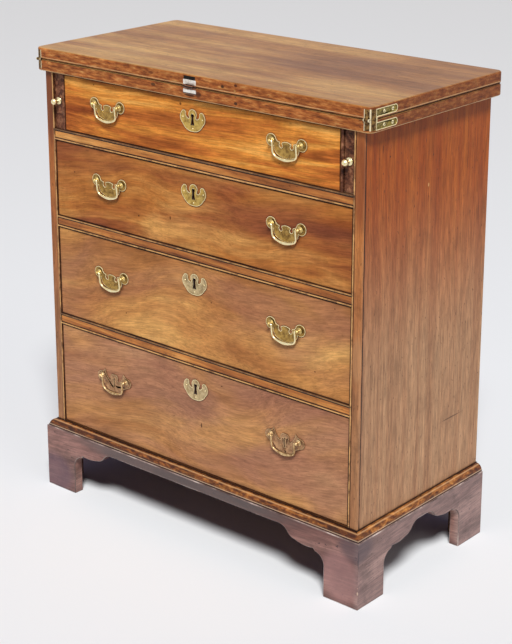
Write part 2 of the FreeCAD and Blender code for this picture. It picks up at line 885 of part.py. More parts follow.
def bail_line():
    # Bail hanging straight down: arm's x, foot of the arms, then the grip's radius and middle.
    turn = math.radians(bail_corner_turn)
    arm_x = post_spacing / 2 - bail_arm_inset
    arm_end = -bail_bend_radius - bail_arm_length
    corner_x = arm_x - bail_corner_radius * (1 - math.cos(turn))
    corner_z = arm_end - bail_corner_radius * math.sin(turn)
    half_angle = math.pi / 2 - turn
    radius = corner_x / math.sin(half_angle)
    return arm_x, arm_end, radius, corner_z + radius * math.cos(half_angle), half_angle


def bent_wire(start, along, centre, degrees):
    # Round wire swept about a point: start is its first middle, along its first direction.
    ring = Part.Wire([Part.Circle(start, along, bail_wire_radius).toShape()])
    return Part.Face(ring).revolve(centre, vec(0, 1, 0), degrees)


def bail_arm():
    # The pin in its post, the bend beside the post, the straight arm and the lower corner.
    arm_x, arm_end, _, _, _ = bail_line()
    bend_x = arm_x + bail_bend_radius
    bend = bent_wire(vec(bend_x, 0, 0), vec(-1, 0, 0), vec(bend_x, 0, -bail_bend_radius), -90)
    drop = rod(bail_wire_radius, vec(arm_x, 0, -bail_bend_radius), vec(arm_x, 0, arm_end))
    corner = bent_wire(vec(arm_x, 0, arm_end), vec(0, 0, -1),
                       vec(arm_x - bail_corner_radius, 0, arm_end), bail_corner_turn)
    pin = rod(bail_pin_radius, vec(bend_x, 0, 0), vec(post_spacing / 2 + bail_pin_depth, 0, 0))
    return [pin, bend, drop, corner]


def bail_grip():
    # A spindle along the bottom arc, thickest at its middle.
    _, _, radius, centre_z, half_angle = bail_line()
    rings = []
    for i in range(bail_band_count + 1):
        share = 2 * i / bail_band_count - 1
        angle = share * half_angle
        swell = (1 + math.cos(math.pi * share)) / 2
        size = bail_wire_radius + (bail_middle_radius - bail_wire_radius) * swell
        middle = vec(radius * math.sin(angle), 0, centre_z - radius * math.cos(angle))
        along = vec(math.cos(angle), 0, math.sin(angle))
        rings.append(Part.Wire([Part.Circle(middle, along, size).toShape()]))
    return Part.makeLoft(rings, True, True)


def bail(number, side):
    arm = bail_arm()
    shape = joined([bail_grip()] + arm + [mirrored(piece) for piece in arm])
    shape.rotate(vec(0, 0, 0), vec(1, 0, 0), bail_lean)
    shape.translate(vec(side * handle_centre, bail_axis_y(), handle_height(number)))
    return shape


# ---------------------------------------------------------------- nodes

def export(name, shape):
    solids = shape if isinstance(shape, list) else [shape]
    solids = [solid for piece in solids for solid in piece.Solids]
    whole = solids[0] if len(solids) == 1 else Part.makeCompound(solids)
    whole.exportStep("parts/" + name + ".step")
    print(name, len(solids), "solids", round(whole.Volume))


def export_carcase():
    export("carcase_side_left", mirrored(carcase_side()))
    export("carcase_side_right", carcase_side())
    export("carcase_bottom", carcase_bottom())
    export("drawer_rails", drawer_rails())
    export("runners_and_guides", runners_and_guides())
    export("dust_boards", [dust_board(z0, z1) for z0, z1 in rail_spans()])
    export("front_facings", front_facings())
    export("cockbeads", cockbeads())
    export("loper_partitions", loper_partitions())
    export("drawer_stops", drawer_stops())
    export("back_boards", back_boards())
    export("base_mouldings", base_mouldings())
    export("bracket_base", bracket_base())
    export("rear_brackets", rear_brackets())
    export("glue_blocks", glue_blocks())


def export_top():
    export("lower_leaf", lower_leaf())
    export("hinge_lower_plates", hinge_plates(False))
    export("hinge_pins", hinge_pins())
    export("upper_leaf", upper_leaf())
    export("hinge_upper_plates", hinge_plates(True))


def export_lopers():
    bar = loper()
    knob = loper_knob()
    export("loper_left", [mirrored(piece) for piece in bar])
    export("loper_right", bar)
    export("loper_knob_left", mirrored(knob))
    export("loper_knob_right", knob)


def export_drawers():
    for number in range(drawer_count):
        name = "drawer_" + str(number + 1)
        export(name + "_front", drawer_front(number))
        export(name + "_box", drawer_box(number))
        export(name + "_bottom", drawer_bottom(number))
        export(name + "_lock", drawer_lock(number))
        export(name + "_escutcheon", escutcheon(number))
        export(name + "_handle_plates", handle_plates(number))
        export(name + "_handle_posts", handle_posts(number))
        export(name + "_bail_left", bail(number, -1))
        export(name + "_bail_right", bail(number, 1))


os.makedirs("parts", exist_ok=True)
export_carcase()
export_top()
export_lopers()
export_drawers()
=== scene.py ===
import bpy
import bmesh
from math import cos, pi, radians, sin
from mathutils import Matrix, Vector


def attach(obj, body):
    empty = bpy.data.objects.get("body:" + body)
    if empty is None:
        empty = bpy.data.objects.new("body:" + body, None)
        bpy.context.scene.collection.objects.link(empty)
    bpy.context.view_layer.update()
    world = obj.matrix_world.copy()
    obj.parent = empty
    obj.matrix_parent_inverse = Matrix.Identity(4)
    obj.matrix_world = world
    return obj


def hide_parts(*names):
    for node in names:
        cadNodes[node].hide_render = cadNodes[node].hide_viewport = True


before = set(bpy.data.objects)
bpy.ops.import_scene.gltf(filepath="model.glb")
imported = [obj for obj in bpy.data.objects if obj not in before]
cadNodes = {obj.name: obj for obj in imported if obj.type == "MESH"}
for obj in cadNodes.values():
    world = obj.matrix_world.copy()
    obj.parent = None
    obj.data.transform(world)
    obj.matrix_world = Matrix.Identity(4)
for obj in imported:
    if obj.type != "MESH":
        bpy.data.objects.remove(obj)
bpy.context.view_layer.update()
drawerNumbers = (1, 2, 3, 4)
hands = (("left", -1), ("right", 1))  # name and direction along x


class Graph:
    # short ways to fill the node tree of a material, a world or a node group
    def __init__(self, owner):
        self.owner = owner
        if hasattr(owner, "node_tree"):
            owner.use_nodes = True
        self.tree = getattr(owner, "node_tree", owner)
        self.tree.nodes.clear()

    def add(self, kind, values=None, **settings):
        # shader nodes go by the rest of their name
        node = self.tree.nodes.new(kind if "Node" in kind else "ShaderNode" + kind)
        for key, value in settings.items():
            setattr(node, key, value)
        for socket, value in (values or {}).items():
            if isinstance(value, bpy.types.NodeSocket):
                self.tree.links.new(value, node.inputs[socket])
            else:
                node.inputs[socket].default_value = value
        return node

    def out(self, kind, values=None, **settings):
        return self.add(kind, values, **settings).outputs[0]

    def math(self, operation, a, b=0, clamp=False):
        return self.out("Math", {0: a, 1: b}, operation=operation, use_clamp=clamp)

    def plus(self, a, b, clamp=False):
        return self.math("ADD", a, b, clamp)

    def minus(self, a, b):
        return self.math("SUBTRACT", a, b)

    def times(self, a, *others):
        for b in others:
            a = self.math("MULTIPLY", a, b)
        return a

    def absolute(self, a):
        return self.math("ABSOLUTE", a)

    def vector(self, operation, a, b=(0, 0, 0)):
        node = self.add("VectorMath", {0: a, 1: b}, operation=operation)
        return node.outputs["Value" if operation == "LENGTH" else "Vector"]

    def axes(self, vector):
        return dict(zip("xyz", self.add("SeparateXYZ", {0: vector}).outputs))

    def joined(self, parts):
        return self.out("CombineXYZ", parts)

    def turned(self, vector, degrees):
        # round the y axis, as a figure turns on a drawer front
        values = {"Vector": vector, "Angle": radians(degrees)}
        return self.out("VectorRotate", values, rotation_type="Y_AXIS")

    def noise(self, vector, scale=1, detail=3, roughness=0.55, distortion=0):
        values = {"Vector": vector, "Scale": scale, "Detail": detail, "Roughness": roughness,
                  "Distortion": distortion}
        return self.add("TexNoise", values).outputs["Fac"]

    def stretch(self, vector, scale, offset):
        return self.out("Mapping", {"Vector": vector, "Scale": scale, "Location": offset})

    def remap(self, value, low, high, toLow=0, toHigh=1):
        values = {"Value": value, "From Min": low, "From Max": high, "To Min": toLow, "To Max": toHigh}
        return self.out("MapRange", values, interpolation_type="SMOOTHSTEP")

    def vary(self, value, low, high, amount):
        # a factor round 1
        return self.remap(value, low, high, 1 - amount, 1 + amount)

    def mix(self, factor, a, b, blend="MIX"):
        node = self.add("Mix", {0: factor, 6: a, 7: b}, data_type="RGBA", blend_type=blend)
        return node.outputs[2]

    def cover(self, colour, tone, *amounts):
        return self.mix(self.times(*amounts), colour, paint(tone))

    def ramp(self, value, places, tones):
        node = self.add("ValToRGB", {0: value})
        band = node.color_ramp
        while len(band.elements) < len(places):
            band.elements.new(0.5)
        for element, place, tone in zip(band.elements, places, tones):
            element.position = place
            element.color = paint(tone)
        return node.outputs[0]

    def stripe(self, position, middle, half, core):
        # 1 on a line across an axis, soft from a share of its half width outwards
        return self.remap(self.absolute(self.minus(position, middle)), half * core, half, 1, 0)

    def nookShade(self, reach, low, high):
        # 1 in corners, hollows and between parts: painted shade, with the dirt and tarnish that gather there
        free = self.add("AmbientOcclusion", {"Distance": reach}, samples=6).outputs["AO"]
        return self.remap(free, low, high, 1, 0)

    def bump(self, height):
        # height in metres
        return self.out("Bump", {"Height": height, "Distance": 1, "Strength": 0.5})

    def finish(self, colour, roughness, settings):
        values = {"Base Color": colour, "Roughness": roughness, **settings}
        shader = self.add("BsdfPrincipled", values)
        self.add("OutputMaterial", {"Surface": shader.outputs[0]})
        return self.owner


def paint(colour):
    # 0-255 screen tone to the linear colour that nodes want
    return tuple(((c / 255 + 0.055) / 1.055) ** 2.4 if c > 10 else c / 255 / 12.92 for c in colour) + (1,)


def crackCloseness(g, axes, box):
    # 1 along the outline of a drawer front, falling to 0 a little inside it
    away = []
    for k, axis in ((0, "x"), (2, "z")):
        low, high = box[0][k], box[1][k]
        middle, half = (low + high) / 2, (high - low) / 2
        away.append(g.minus(half, g.absolute(g.minus(axes[axis], middle))))
    return g.remap(g.math("MINIMUM", *away), crackReach * 0.45, crackReach, 1, 0)


def blot(g, place, centre, size, turn=0, core=0, square=False):
    # 1 in the middle of a soft spot with these half sizes, 0 outside it
    local = g.vector("SUBTRACT", place, centre)
    if turn:
        local = g.turned(local, turn)
    local = g.vector("MULTIPLY", local, [1 / s for s in size])
    if square:
        parts = g.axes(g.vector("ABSOLUTE", local))
        away = g.math("MAXIMUM", g.math("MAXIMUM", parts["x"], parts["y"]), parts["z"])
    else:
        away = g.vector("LENGTH", local)
    return g.remap(away, core, 1, 1, 0)


toneStops = (0, 0.35, 0.65, 1)
edgeStops = (0.3, 0.45, 0.56, 0.72)
crackReach = 0.0022
relief = {"hollows": 0.0009, "fibres": 0.00012, "pores": 0.00008, "cloud": 0.0006, "speck": 0.00005}  # metres
waves = {
    # to the metre, along and across the grain
    "cast": (2, 7), "hollows": (4, 22), "grime": (9, 9), "fibres": (18, 420), "mottle": (28, 130),
    "dashes": (34, 34), "pores": (60, 900), "flecks": (90, 240), "ripple": (170, 26),
}
plainWood = {
    "grain": "x", "shift": (0, 0, 0), "wraps": False, "tilt": 0,
    "swirl": (1.6, 5), "sway": 0.03, "bands": (1.3, 26), "grit": 6, "curl": 0.3, "patches": (2.2, 6),
    "bandShare": 0.6, "spread": 0.17, "fibre": 0.2, "mottle": 0.08, "ripple": 0, "pore": 0.4,
    "stain": 0.15, "flecks": 0.25, "nookShadeAmount": 0.6, "nookShadeReach": 0.006, "nookShadeRange": (0.38, 0.93),
    "rough": 0.34, "shine": 0.3, "regions": [], "lines": [], "spots": [],
}


def woodMaterial(name, ownLook):
    look = {**plainWood, **ownLook}
    g = Graph(bpy.data.materials.new(name))
    coordinates = g.add("TexCoord").outputs
    place = coordinates["Object"]
    axes = g.axes(place)
    facing = {axis: g.absolute(part) for axis, part in g.axes(coordinates["Normal"]).items()}
    lengthwise, *crosswise = {"x": (0, 1, 2), "y": (1, 0, 2), "z": (2, 0, 1)}[look["grain"]]
    dark = look["dark"]

    def figure(source, scales, shift=look["shift"], **kinds):
        # noise that is drawn out along the grain
        scale = [scales[1]] * 3
        scale[lengthwise] = scales[0]
        return g.noise(g.stretch(source, scale, shift), **kinds)

    grainPlace = place
    if look["wraps"]:
        # boards that run back along the sides carry their grain with them
        crossed = g.joined({0: axes["y"], 1: axes["x"], 2: axes["z"]})
        grainPlace = g.mix(g.remap(g.minus(facing["x"], facing["y"]), -0.01, 0.01), place, crossed)
    if look["tilt"]:
        grainPlace = g.turned(grainPlace, look["tilt"])
    # slow drift of the grain across the board, stronger where the figure swirls
    drift = g.times(g.minus(figure(grainPlace, look["swirl"], detail=2), 0.5), look["sway"])
    swayed = g.vector("ADD", grainPlace, g.joined({k: drift for k in crosswise}))

    bands = figure(swayed, look["bands"], detail=look["grit"], roughness=0.6, distortion=look["curl"])
    patches = figure(swayed, look["patches"], distortion=look["curl"])
    fibres = figure(swayed, waves["fibres"], detail=4, roughness=0.7)
    pores = g.remap(figure(swayed, waves["pores"], detail=2), 0.62, 0.72)

    share, spread = look["bandShare"], look["spread"]
    tone = g.plus(g.times(bands, share), g.times(patches, 1 - share))
    tone = g.remap(tone, 0.5 - spread, 0.5 + spread)
    for centre, size, turn, amount in look["regions"]:
        tone = g.plus(tone, g.times(blot(g, place, centre, size, turn), amount), clamp=True)
    colour = g.ramp(tone, toneStops, look["tones"])
    if "cast" in look:
        cast, amount = look["cast"]
        drifted = figure(swayed, waves["cast"], look["shift"][::-1], distortion=0.6)
        colour = g.cover(colour, cast, g.remap(drifted, 0.4, 0.62), amount)
    if "fade" in look:
        axis, low, high, tones, amount = look["fade"]
        fade = g.plus(axes[axis], g.times(g.minus(patches, 0.5), (high - low) * 0.5))
        colour = g.mix(g.times(g.remap(fade, low, high), amount), colour, g.ramp(tone, toneStops, tones))
    if "edgeTones" in look:
        # rubbed edges of a leaf, darker on the end grain
        flat = g.remap(facing["z"], 0.5, 0.85)
        rubbed = g.noise(g.stretch(place, look["edgeMottle"], look["shift"]), detail=6, roughness=0.66)
        rubbed = g.ramp(rubbed, edgeStops, look["edgeTones"])
        endTone, endAmount = look["endGrain"]
        rubbed = g.cover(rubbed, endTone, g.remap(facing["x"], 0.4, 0.8), endAmount)
        colour = g.mix(flat, rubbed, colour)

    mottle = figure(swayed, waves["mottle"], roughness=0.6)
    fine = g.times(g.vary(fibres, 0.3, 0.7, look["fibre"]), g.vary(mottle, 0.32, 0.68, look["mottle"]))
    if look["ripple"]:
        # cross figure, only in the lighter patches
        ripple = g.minus(figure(place, waves["ripple"], detail=1), 0.5)
        fine = g.plus(fine, g.times(ripple, g.times(g.remap(patches, 0.42, 0.62), look["ripple"])))
    fine = g.out("CombineColor", {0: fine, 1: fine, 2: fine})
    colour = g.mix(1, colour, fine, "MULTIPLY")
    grime = figure(place, waves["grime"], detail=6, roughness=0.72)
    flecks = figure(place, waves["flecks"], detail=2, roughness=0.6)
    colour = g.cover(colour, dark, pores, look["pore"])
    colour = g.cover(colour, dark, g.remap(grime, 0.5, 0.72), look["stain"])
    colour = g.cover(colour, dark, g.remap(flecks, 0.66, 0.72), look["flecks"])
    if "crack" in look:
        # grime in the crack round a drawer front
        crack = crackCloseness(g, axes, look["crack"])
        uneven = g.remap(grime, 0.3, 0.6, 0.6, 1)
        colour = g.cover(colour, look["seam"], crack, uneven, g.remap(facing["y"], 0.3, 0.6))
    if "noseHighlight" in look:
        # painted highlight on the front of a bead's nose, broken into dashes
        axis, sharpness, shade, amount = look["noseHighlight"]
        dashes = g.remap(figure(place, waves["dashes"], detail=4, roughness=0.7), 0.38, 0.56, 0.22, 1)
        colour = g.cover(colour, shade, g.remap(facing[axis], sharpness, sharpness + 0.2), dashes, amount)
    for axis, middle, half, shade, amount in look["lines"]:
        line = [g.stripe(axes[axis], middle, half, 0.6), g.remap(grime, 0.32, 0.5, 0.3, 1)]
        if "edgeTones" in look:
            line.append(g.minus(1, flat))
        colour = g.cover(colour, shade, *line, amount)
    for centre, size, shade, amount, *crisp in look["spots"]:
        spot = blot(g, place, centre, size, core=crisp[0] if crisp else 0.55, square=bool(crisp))
        colour = g.cover(colour, shade, spot, amount)
    # painted shade in corners and round the brasses, with dirt
    colour = g.cover(colour, dark, g.nookShade(look["nookShadeReach"], *look["nookShadeRange"]), look["nookShadeAmount"])

    roughness = g.plus(g.times(grime, 0.18), look["rough"] - 0.09)
    hollows = figure(place, waves["hollows"], detail=2)
    height = g.plus(g.times(hollows, relief["hollows"]), g.times(fibres, relief["fibres"]))
    height = g.minus(height, g.times(pores, relief["pores"]))
    return g.finish(colour, roughness, {"Normal": g.bump(height), "Specular IOR Level": look["shine"]})


frontY = -0.1755        # the carcase front
faceY = frontY + 0.001  # the drawer fronts
leafY = frontY - 0.007  # the leaves' front edges
baseY = frontY - 0.016  # the base's front board
keyholeHeights = (784, 653, 491, 293)  # in millimetres, top drawer first


def keyholeShade(n):
    # the dark inside of a keyhole
    return ((0, faceY, keyholeHeights[n - 1] / 1000 + 0.003), (0.007, 0.03, 0.014), (10, 6, 5), 1)


def patch(x, z, halfWidth, halfHeight, turn, amount):
    # a lighter or darker part of a drawer front's figure, turned by degrees
    return ((x, faceY, z), (halfWidth, 1, halfHeight), turn, amount)


def mark(x, z, size=0.0016, tone=(58, 26, 14), amount=0.8, tall=1):
    # a nail or worm hole in a drawer front
    return ((x, faceY, z), (size, 0.01, size * tall), tone, amount)


def leafEdgeMarkOrShade(x, z, halfWidth, halfHeight, tone, amount, *crisp):
    # a plug, dent or patch of painted shade on the front edges of the leaves; crisp ones are square
    return ((x, leafY, z), (halfWidth, 0.01, halfHeight), tone, amount, *crisp)


def scar(y, z, halfWidth, halfHeight, tone, amount):
    # a bruise or scratch on the right side board
    return ((0.363, y, z), (0.01, halfWidth, halfHeight), tone, amount)


# the nook settings darken round the brasses and in cracks: painted shade, with dirt
drawerWood = {"grit": 3.5, "bandShare": 0.48, "curl": 0.7, "shine": 0.1, "mottle": 0.12, "stain": 0.16,
              "nookShadeAmount": 0.85, "nookShadeReach": 0.009, "nookShadeRange": (0.6, 0.96), "seam": (22, 10, 8)}
arris = {"bands": (30, 30), "patches": (8, 8), "rough": 0.3}
oak = {"dark": (70, 50, 32), "bands": (1.5, 50), "rough": 0.62, "shine": 0.2}
pine = {"bands": (1, 30), "shift": (2, 2, 2), "rough": 0.7, "shine": 0.15, "stain": 0.4}
woodLooks = {
    "mahoganyDrawer1": {
        **drawerWood, "tones": [(136, 66, 28), (186, 106, 44), (216, 140, 58), (244, 180, 92)],
        "dark": (66, 26, 12), "bands": (2.2, 30), "grit": 6, "bandShare": 0.7, "spread": 0.2, "curl": 0.9,
        "sway": 0.06, "tilt": 3, "shift": (3.1, 0, 1.7),
        "regions": [patch(-0.31, 0.77, 0.1, 0.09, 0, -0.16), patch(-0.13, 0.8, 0.2, 0.03, 4, 0.2),
                    patch(0.12, 0.765, 0.26, 0.05, 3, 0.15), patch(-0.05, 0.735, 0.14, 0.03, 6, -0.2)],
        "spots": [mark(-0.029, 0.809, 0.003), mark(-0.24, 0.812), mark(0.19, 0.742, 0.0012)], "shine": 0.08,
        "fibre": 0.26, "mottle": 0.17, "ripple": 0.2,
    },
    "mahoganyDrawer2": {
        **drawerWood, "tones": [(108, 50, 24), (148, 82, 38), (178, 112, 52), (212, 154, 84)],
        "dark": (62, 28, 16), "bands": (1.7, 18), "grit": 4, "bandShare": 0.5, "patches": (2.6, 6), "sway": 0.13,
        "swirl": (2, 2.4), "tilt": 8, "shift": (7.3, 0, 4.2), "spread": 0.2, "cast": ((140, 84, 62), 0.35),
        "regions": [patch(-0.07, 0.597, 0.17, 0.045, 14, 0.32), patch(-0.29, 0.6, 0.1, 0.06, 0, -0.2),
                    patch(0.16, 0.66, 0.16, 0.03, 10, 0.24), patch(-0.15, 0.665, 0.12, 0.02, 8, 0.25),
                    patch(0.02, 0.64, 0.12, 0.02, 12, 0.2), patch(0.1, 0.605, 0.07, 0.03, 10, 0.24),
                    patch(0.27, 0.575, 0.1, 0.04, 6, -0.16)],
        "spots": [mark(-0.134, 0.59, 0.0022), mark(-0.057, 0.601, 0.0018, tall=2.5), mark(-0.296, 0.642, 0.002)],
        "shine": 0.08, "ripple": 0.2, "mottle": 0.13,
    },
    "mahoganyDrawer3": {
        **drawerWood, "tones": [(128, 74, 36), (170, 112, 62), (194, 136, 76), (224, 172, 100)],
        "dark": (64, 32, 18), "bands": (1.5, 15), "patches": (2.4, 5.6), "sway": 0.15, "swirl": (1.8, 2.2),
        "tilt": 9, "shift": (1.2, 0, 9.6), "spread": 0.28, "cast": ((150, 100, 82), 0.5),
        "regions": [patch(-0.02, 0.495, 0.12, 0.04, 14, 0.2), patch(0.24, 0.44, 0.2, 0.1, 6, 0.45),
                    patch(-0.22, 0.43, 0.14, 0.05, 10, -0.02), patch(0.08, 0.49, 0.12, 0.03, 12, 0.12),
                    patch(0.05, 0.38, 0.2, 0.02, 12, -0.15), patch(0.1, 0.43, 0.08, 0.04, 10, 0.26)],
        "spots": [mark(0.023, 0.505, 0.0022), mark(0.038, 0.466, 0.0018), mark(0.309, 0.518, 0.0016),
                  mark(-0.171, 0.398, 0.0016), mark(0.269, 0.398, 0.0024, tall=0.6)],
        "ripple": 0.12,
    },
    "mahoganyDrawer4": {
        **drawerWood, "tones": [(132, 80, 44), (172, 118, 70), (194, 140, 86), (220, 170, 108)],
        "dark": (68, 36, 24), "bands": (1.4, 14), "patches": (2.2, 5.2), "sway": 0.16, "swirl": (1.7, 2.2),
        "tilt": 9, "shift": (5.5, 0, 2.9), "spread": 0.26, "cast": ((152, 104, 90), 0.6),
        "regions": [patch(-0.06, 0.225, 0.2, 0.05, 12, -0.04), patch(-0.2, 0.3, 0.16, 0.035, 8, 0.24),
                    patch(0.12, 0.275, 0.2, 0.04, 14, 0.1), patch(-0.28, 0.2, 0.1, 0.07, 0, 0.18),
                    patch(0.3, 0.22, 0.1, 0.08, 0, 0.25)],
        "spots": [mark(0.061, 0.316, 0.0028, tall=0.5), mark(0.012, 0.228, 0.0022, tall=2.6),
                  mark(-0.055, 0.228, 0.0014), mark(-0.277, 0.219, 0.0014)],
        "ripple": 0.1,
    },
    "mahoganyTop": {
        "tones": [(122, 76, 42), (158, 108, 60), (180, 134, 78), (204, 158, 92)], "dark": (62, 38, 26),
        "edgeTones": [(92, 44, 20), (148, 80, 36), (178, 108, 53), (204, 148, 86)],
        "endGrain": ((88, 40, 20), 0.5), "edgeMottle": (46, 60, 190), "bands": (1.2, 22), "patches": (1.6, 3.5),
        "spread": 0.2, "shift": (2.2, 5.1, 0),
        "regions": [((0.1, 0.05, 0.86), (0.3, 0.12, 1), 0, -0.18), ((0.3, -0.12, 0.86), (0.22, 0.12, 1), 0, 0.32),
                    ((-0.3, 0.05, 0.86), (0.16, 0.16, 1), 0, -0.26)],
        # the light lines are painted highlights on the leaves' rounded arrises; the black one is the joint
        # between the leaves
        "lines": [("z", 0.8229, 0.0011, (244, 208, 150), 0.95), ("z", 0.8472, 0.0008, (236, 196, 140), 0.5),
                  ("z", 0.8434, 0.0026, (16, 8, 5), 1)],
        "spots": [leafEdgeMarkOrShade(0.074, 0.8543, 0.0045, 0.0035, (58, 34, 18), 0.9),
                  leafEdgeMarkOrShade(0.103, 0.8597, 0.0045, 0.003, (70, 26, 14), 0.9),
                  leafEdgeMarkOrShade(0.101, 0.8503, 0.003, 0.0025, (180, 140, 80), 0.6),
                  leafEdgeMarkOrShade(0.103, 0.8298, 0.005, 0.0035, (52, 30, 20), 0.9),
                  leafEdgeMarkOrShade(0.115, 0.8375, 0.004, 0.0025, (150, 78, 36), 0.5),
                  # painted shade in the hinge's mortise above the middle plate
                  leafEdgeMarkOrShade(0, 0.8588, 0.0142, 0.0034, (14, 8, 6), 1, 0.85),
                  leafEdgeMarkOrShade(0, 0.829, 0.015, 0.0022, (34, 16, 10), 0.9),
                  # painted shadow beside the lower middle plate
                  leafEdgeMarkOrShade(0.019, 0.833, 0.009, 0.006, (70, 34, 16), 0.8),
                  leafEdgeMarkOrShade(-0.085, 0.836, 0.007, 0.0035, (44, 20, 12), 0.8),
                  leafEdgeMarkOrShade(-0.09, 0.856, 0.008, 0.003, (96, 46, 22), 0.7)],
        "rough": 0.4, "stain": 0.22, "shine": 0.16, "flecks": 0.6, "mottle": 0.12,
    },
    "mahoganySide": {
        "grain": "z", "tones": [(136, 94, 66), (164, 120, 86), (176, 134, 98), (194, 152, 114)],
        "dark": (70, 40, 28), "bands": (0.8, 70), "bandShare": 0.7, "patches": (1, 4), "spread": 0.34,
        "shift": (0, 6.1, 3.3), "mottle": 0.1,
        # redder towards the top, paler towards the bottom: the paler lower part is painted reflection of the
        # floor
        "fade": ("z", 0.36, 0.74, [(124, 50, 16), (152, 72, 24), (166, 86, 30), (184, 106, 42)], 1),
        "spots": [scar(-0.126, 0.785, 0.0012, 0.009, (48, 18, 10), 0.8),
                  scar(-0.106, 0.769, 0.0018, 0.0018, (48, 18, 10), 0.8),
                  scar(0.003, 0.7, 0.0022, 0.004, (214, 168, 110), 0.7),
                  scar(0.003, 0.678, 0.0015, 0.01, (104, 44, 20), 0.6),
                  scar(0.095, 0.255, 0.036, 0.0016, (78, 48, 34), 0.7),
                  scar(0.156, 0.743, 0.0012, 0.03, (110, 46, 20), 0.5)],
        "lines": [("y", frontY + 0.0052, 0.0022, (44, 22, 14), 0.95)], "stain": 0.2, "shine": 0.16, "flecks": 0.6,
        "fibre": 0.28, "pore": 0.55,
    },
    "mahoganyFacing": {
        "grain": "z", "tones": [(124, 64, 28), (160, 92, 44), (178, 110, 56), (204, 140, 82)],
        "dark": (54, 26, 14), "bands": (1.4, 34), "shift": (0, 2.4, 8.8), "stain": 0.5, "shine": 0.22,
        "flecks": 0.6, "mottle": 0.14,
        "fade": ("z", 0.62, 0.3, [(126, 80, 50), (160, 112, 74), (178, 130, 90), (200, 152, 112)], 0.9),
        "lines": [("x", x, 0.0009, (44, 22, 14), 0.75) for x in (0.3476, -0.3476)],
        "spots": [((-0.356, frontY, 0.77), (0.012, 0.02, 0.11), (104, 52, 32), 0.75),
                  ((0.356, frontY, 0.74), (0.012, 0.02, 0.1), (132, 64, 32), 0.65),
                  ((0.356, frontY, 0.44), (0.012, 0.02, 0.05), (196, 146, 100), 0.45)],
    },
    "mahoganyRail": {
        "tones": [(102, 54, 24), (166, 99, 46), (196, 128, 62), (222, 162, 90)], "dark": (44, 20, 14),
        "bands": (4, 60), "shift": (4.4, 2.4, 0), "stain": 0.5, "flecks": 0.5, "shine": 0.22,
        "lines": [("z", z + d, 0.0019, (28, 14, 10), 0.95) for z in (0.34, 0.533, 0.699)
                  for d in (0.0004, 0.0146)],
    },
    "mahoganyBead": {
        "tones": [(58, 30, 18), (96, 56, 32), (130, 84, 50), (176, 126, 84)], "dark": (34, 16, 10),
        "bands": (9, 90), "shift": (1.4, 2.4, 6), "stain": 0.5, "nookShadeReach": 0.003, "nookShadeAmount": 0.8,
        # a painted highlight on the bead's nose
        "noseHighlight": ("y", 0.6, (222, 172, 106), 0.8),
        "lines": [("z", z, 0.0022, (58, 34, 26), amount)
                  for z, amount in ((0.3565, 0.6), (0.5495, 0.2), (0.7155, 0.8), (0.1395, 0.75))],
    },
    "mahoganyLoper": {
        "grain": "y", "tones": [(46, 24, 16), (84, 46, 30), (122, 76, 52), (162, 114, 82)], "dark": (28, 14, 10),
        "bands": (3, 110), "curl": 0.6, "shift": (9.1, 2.4, 0), "stain": 0.55, "flecks": 0.7, "mottle": 0.22,
        "shine": 0.15,
    },
    "mahoganyMoulding": {
        "tones": [(42, 20, 12), (86, 44, 20), (134, 80, 36), (190, 130, 66)], "dark": (26, 13, 10),
        "bands": (70, 170), "spread": 0.2, "shift": (6.6, 2.4, 3), "stain": 0.5, "flecks": 0.9, "mottle": 0.3,
        "wraps": True, "rough": 0.3,
        # the light lines are painted highlights on the fillets; the dark ones are the joints above and below
        "lines": [("z", 0.1374, 0.001, (30, 16, 12), 0.9), ("z", 0.1352, 0.0008, (206, 160, 110), 0.5),
                  ("z", 0.1264, 0.0008, (200, 172, 142), 0.6), ("z", 0.1248, 0.0012, (26, 14, 14), 0.95)],
        # a painted highlight on the front corner
        "spots": [((0.376, frontY - 0.013, 0.1335), (0.004, 0.004, 0.004), (232, 172, 160), 0.9)],
    },
    "mahoganyBase": {
        "tones": [(70, 40, 36), (116, 78, 70), (142, 102, 92), (170, 130, 116)], "dark": (34, 18, 22), "tilt": 4,
        "flecks": 0.8, "mottle": 0.18, "fibre": 0.26, "wraps": True, "bands": (1.6, 22), "curl": 0.8,
        "spread": 0.24, "shift": (8.6, 1.4, 3), "stain": 0.5, "rough": 0.38, "shine": 0.4,
        "fade": ("x", 0.365, 0.377, [(110, 84, 78), (138, 110, 104), (160, 130, 122), (180, 150, 140)], 0.8),
        "spots": [((-0.03, baseY, 0.118), (0.31, 0.02, 0.026), (84, 74, 72), 0.8),
                  ((-0.36, baseY, 0.03), (0.06, 0.05, 0.05), (92, 68, 82), 0.6),
                  ((0.34, baseY, 0.05), (0.05, 0.03, 0.06), (168, 124, 120), 0.5),
                  ((0.377, baseY, 0.11), (0.05, 0.05, 0.03), (78, 62, 68), 0.7),
                  ((0.379, baseY - 0.002, 0.032), (0.003, 0.004, 0.005), (216, 186, 160), 0.9),
                  ((0.379, baseY - 0.002, 0.042), (0.002, 0.003, 0.003), (206, 160, 140), 0.8),
                  ((0.379, baseY, 0.095), (0.002, 0.004, 0.02), (66, 52, 56), 0.6)],
    },
    # lighter rounded arrises: worn finish, and painted highlight
    "wornArris": {
        **arris, "tones": [(70, 38, 22), (128, 80, 48), (176, 126, 86), (224, 184, 144)], "dark": (52, 26, 16),
        "spread": 0.13, "shift": (3, 2, 1), "shine": 0.45, "nookShadeAmount": 0.2,
    },
    # pale tones on the base's rounded arrises: painted highlight
    "paleArris": {
        **arris, "tones": [(72, 54, 50), (112, 92, 86), (152, 132, 124), (204, 188, 178)], "dark": (44, 30, 30),
        "bands": (24, 24), "spread": 0.15, "shift": (4, 2, 3), "shine": 0.4, "nookShadeAmount": 0.1,
    },
    "grimyArris": {
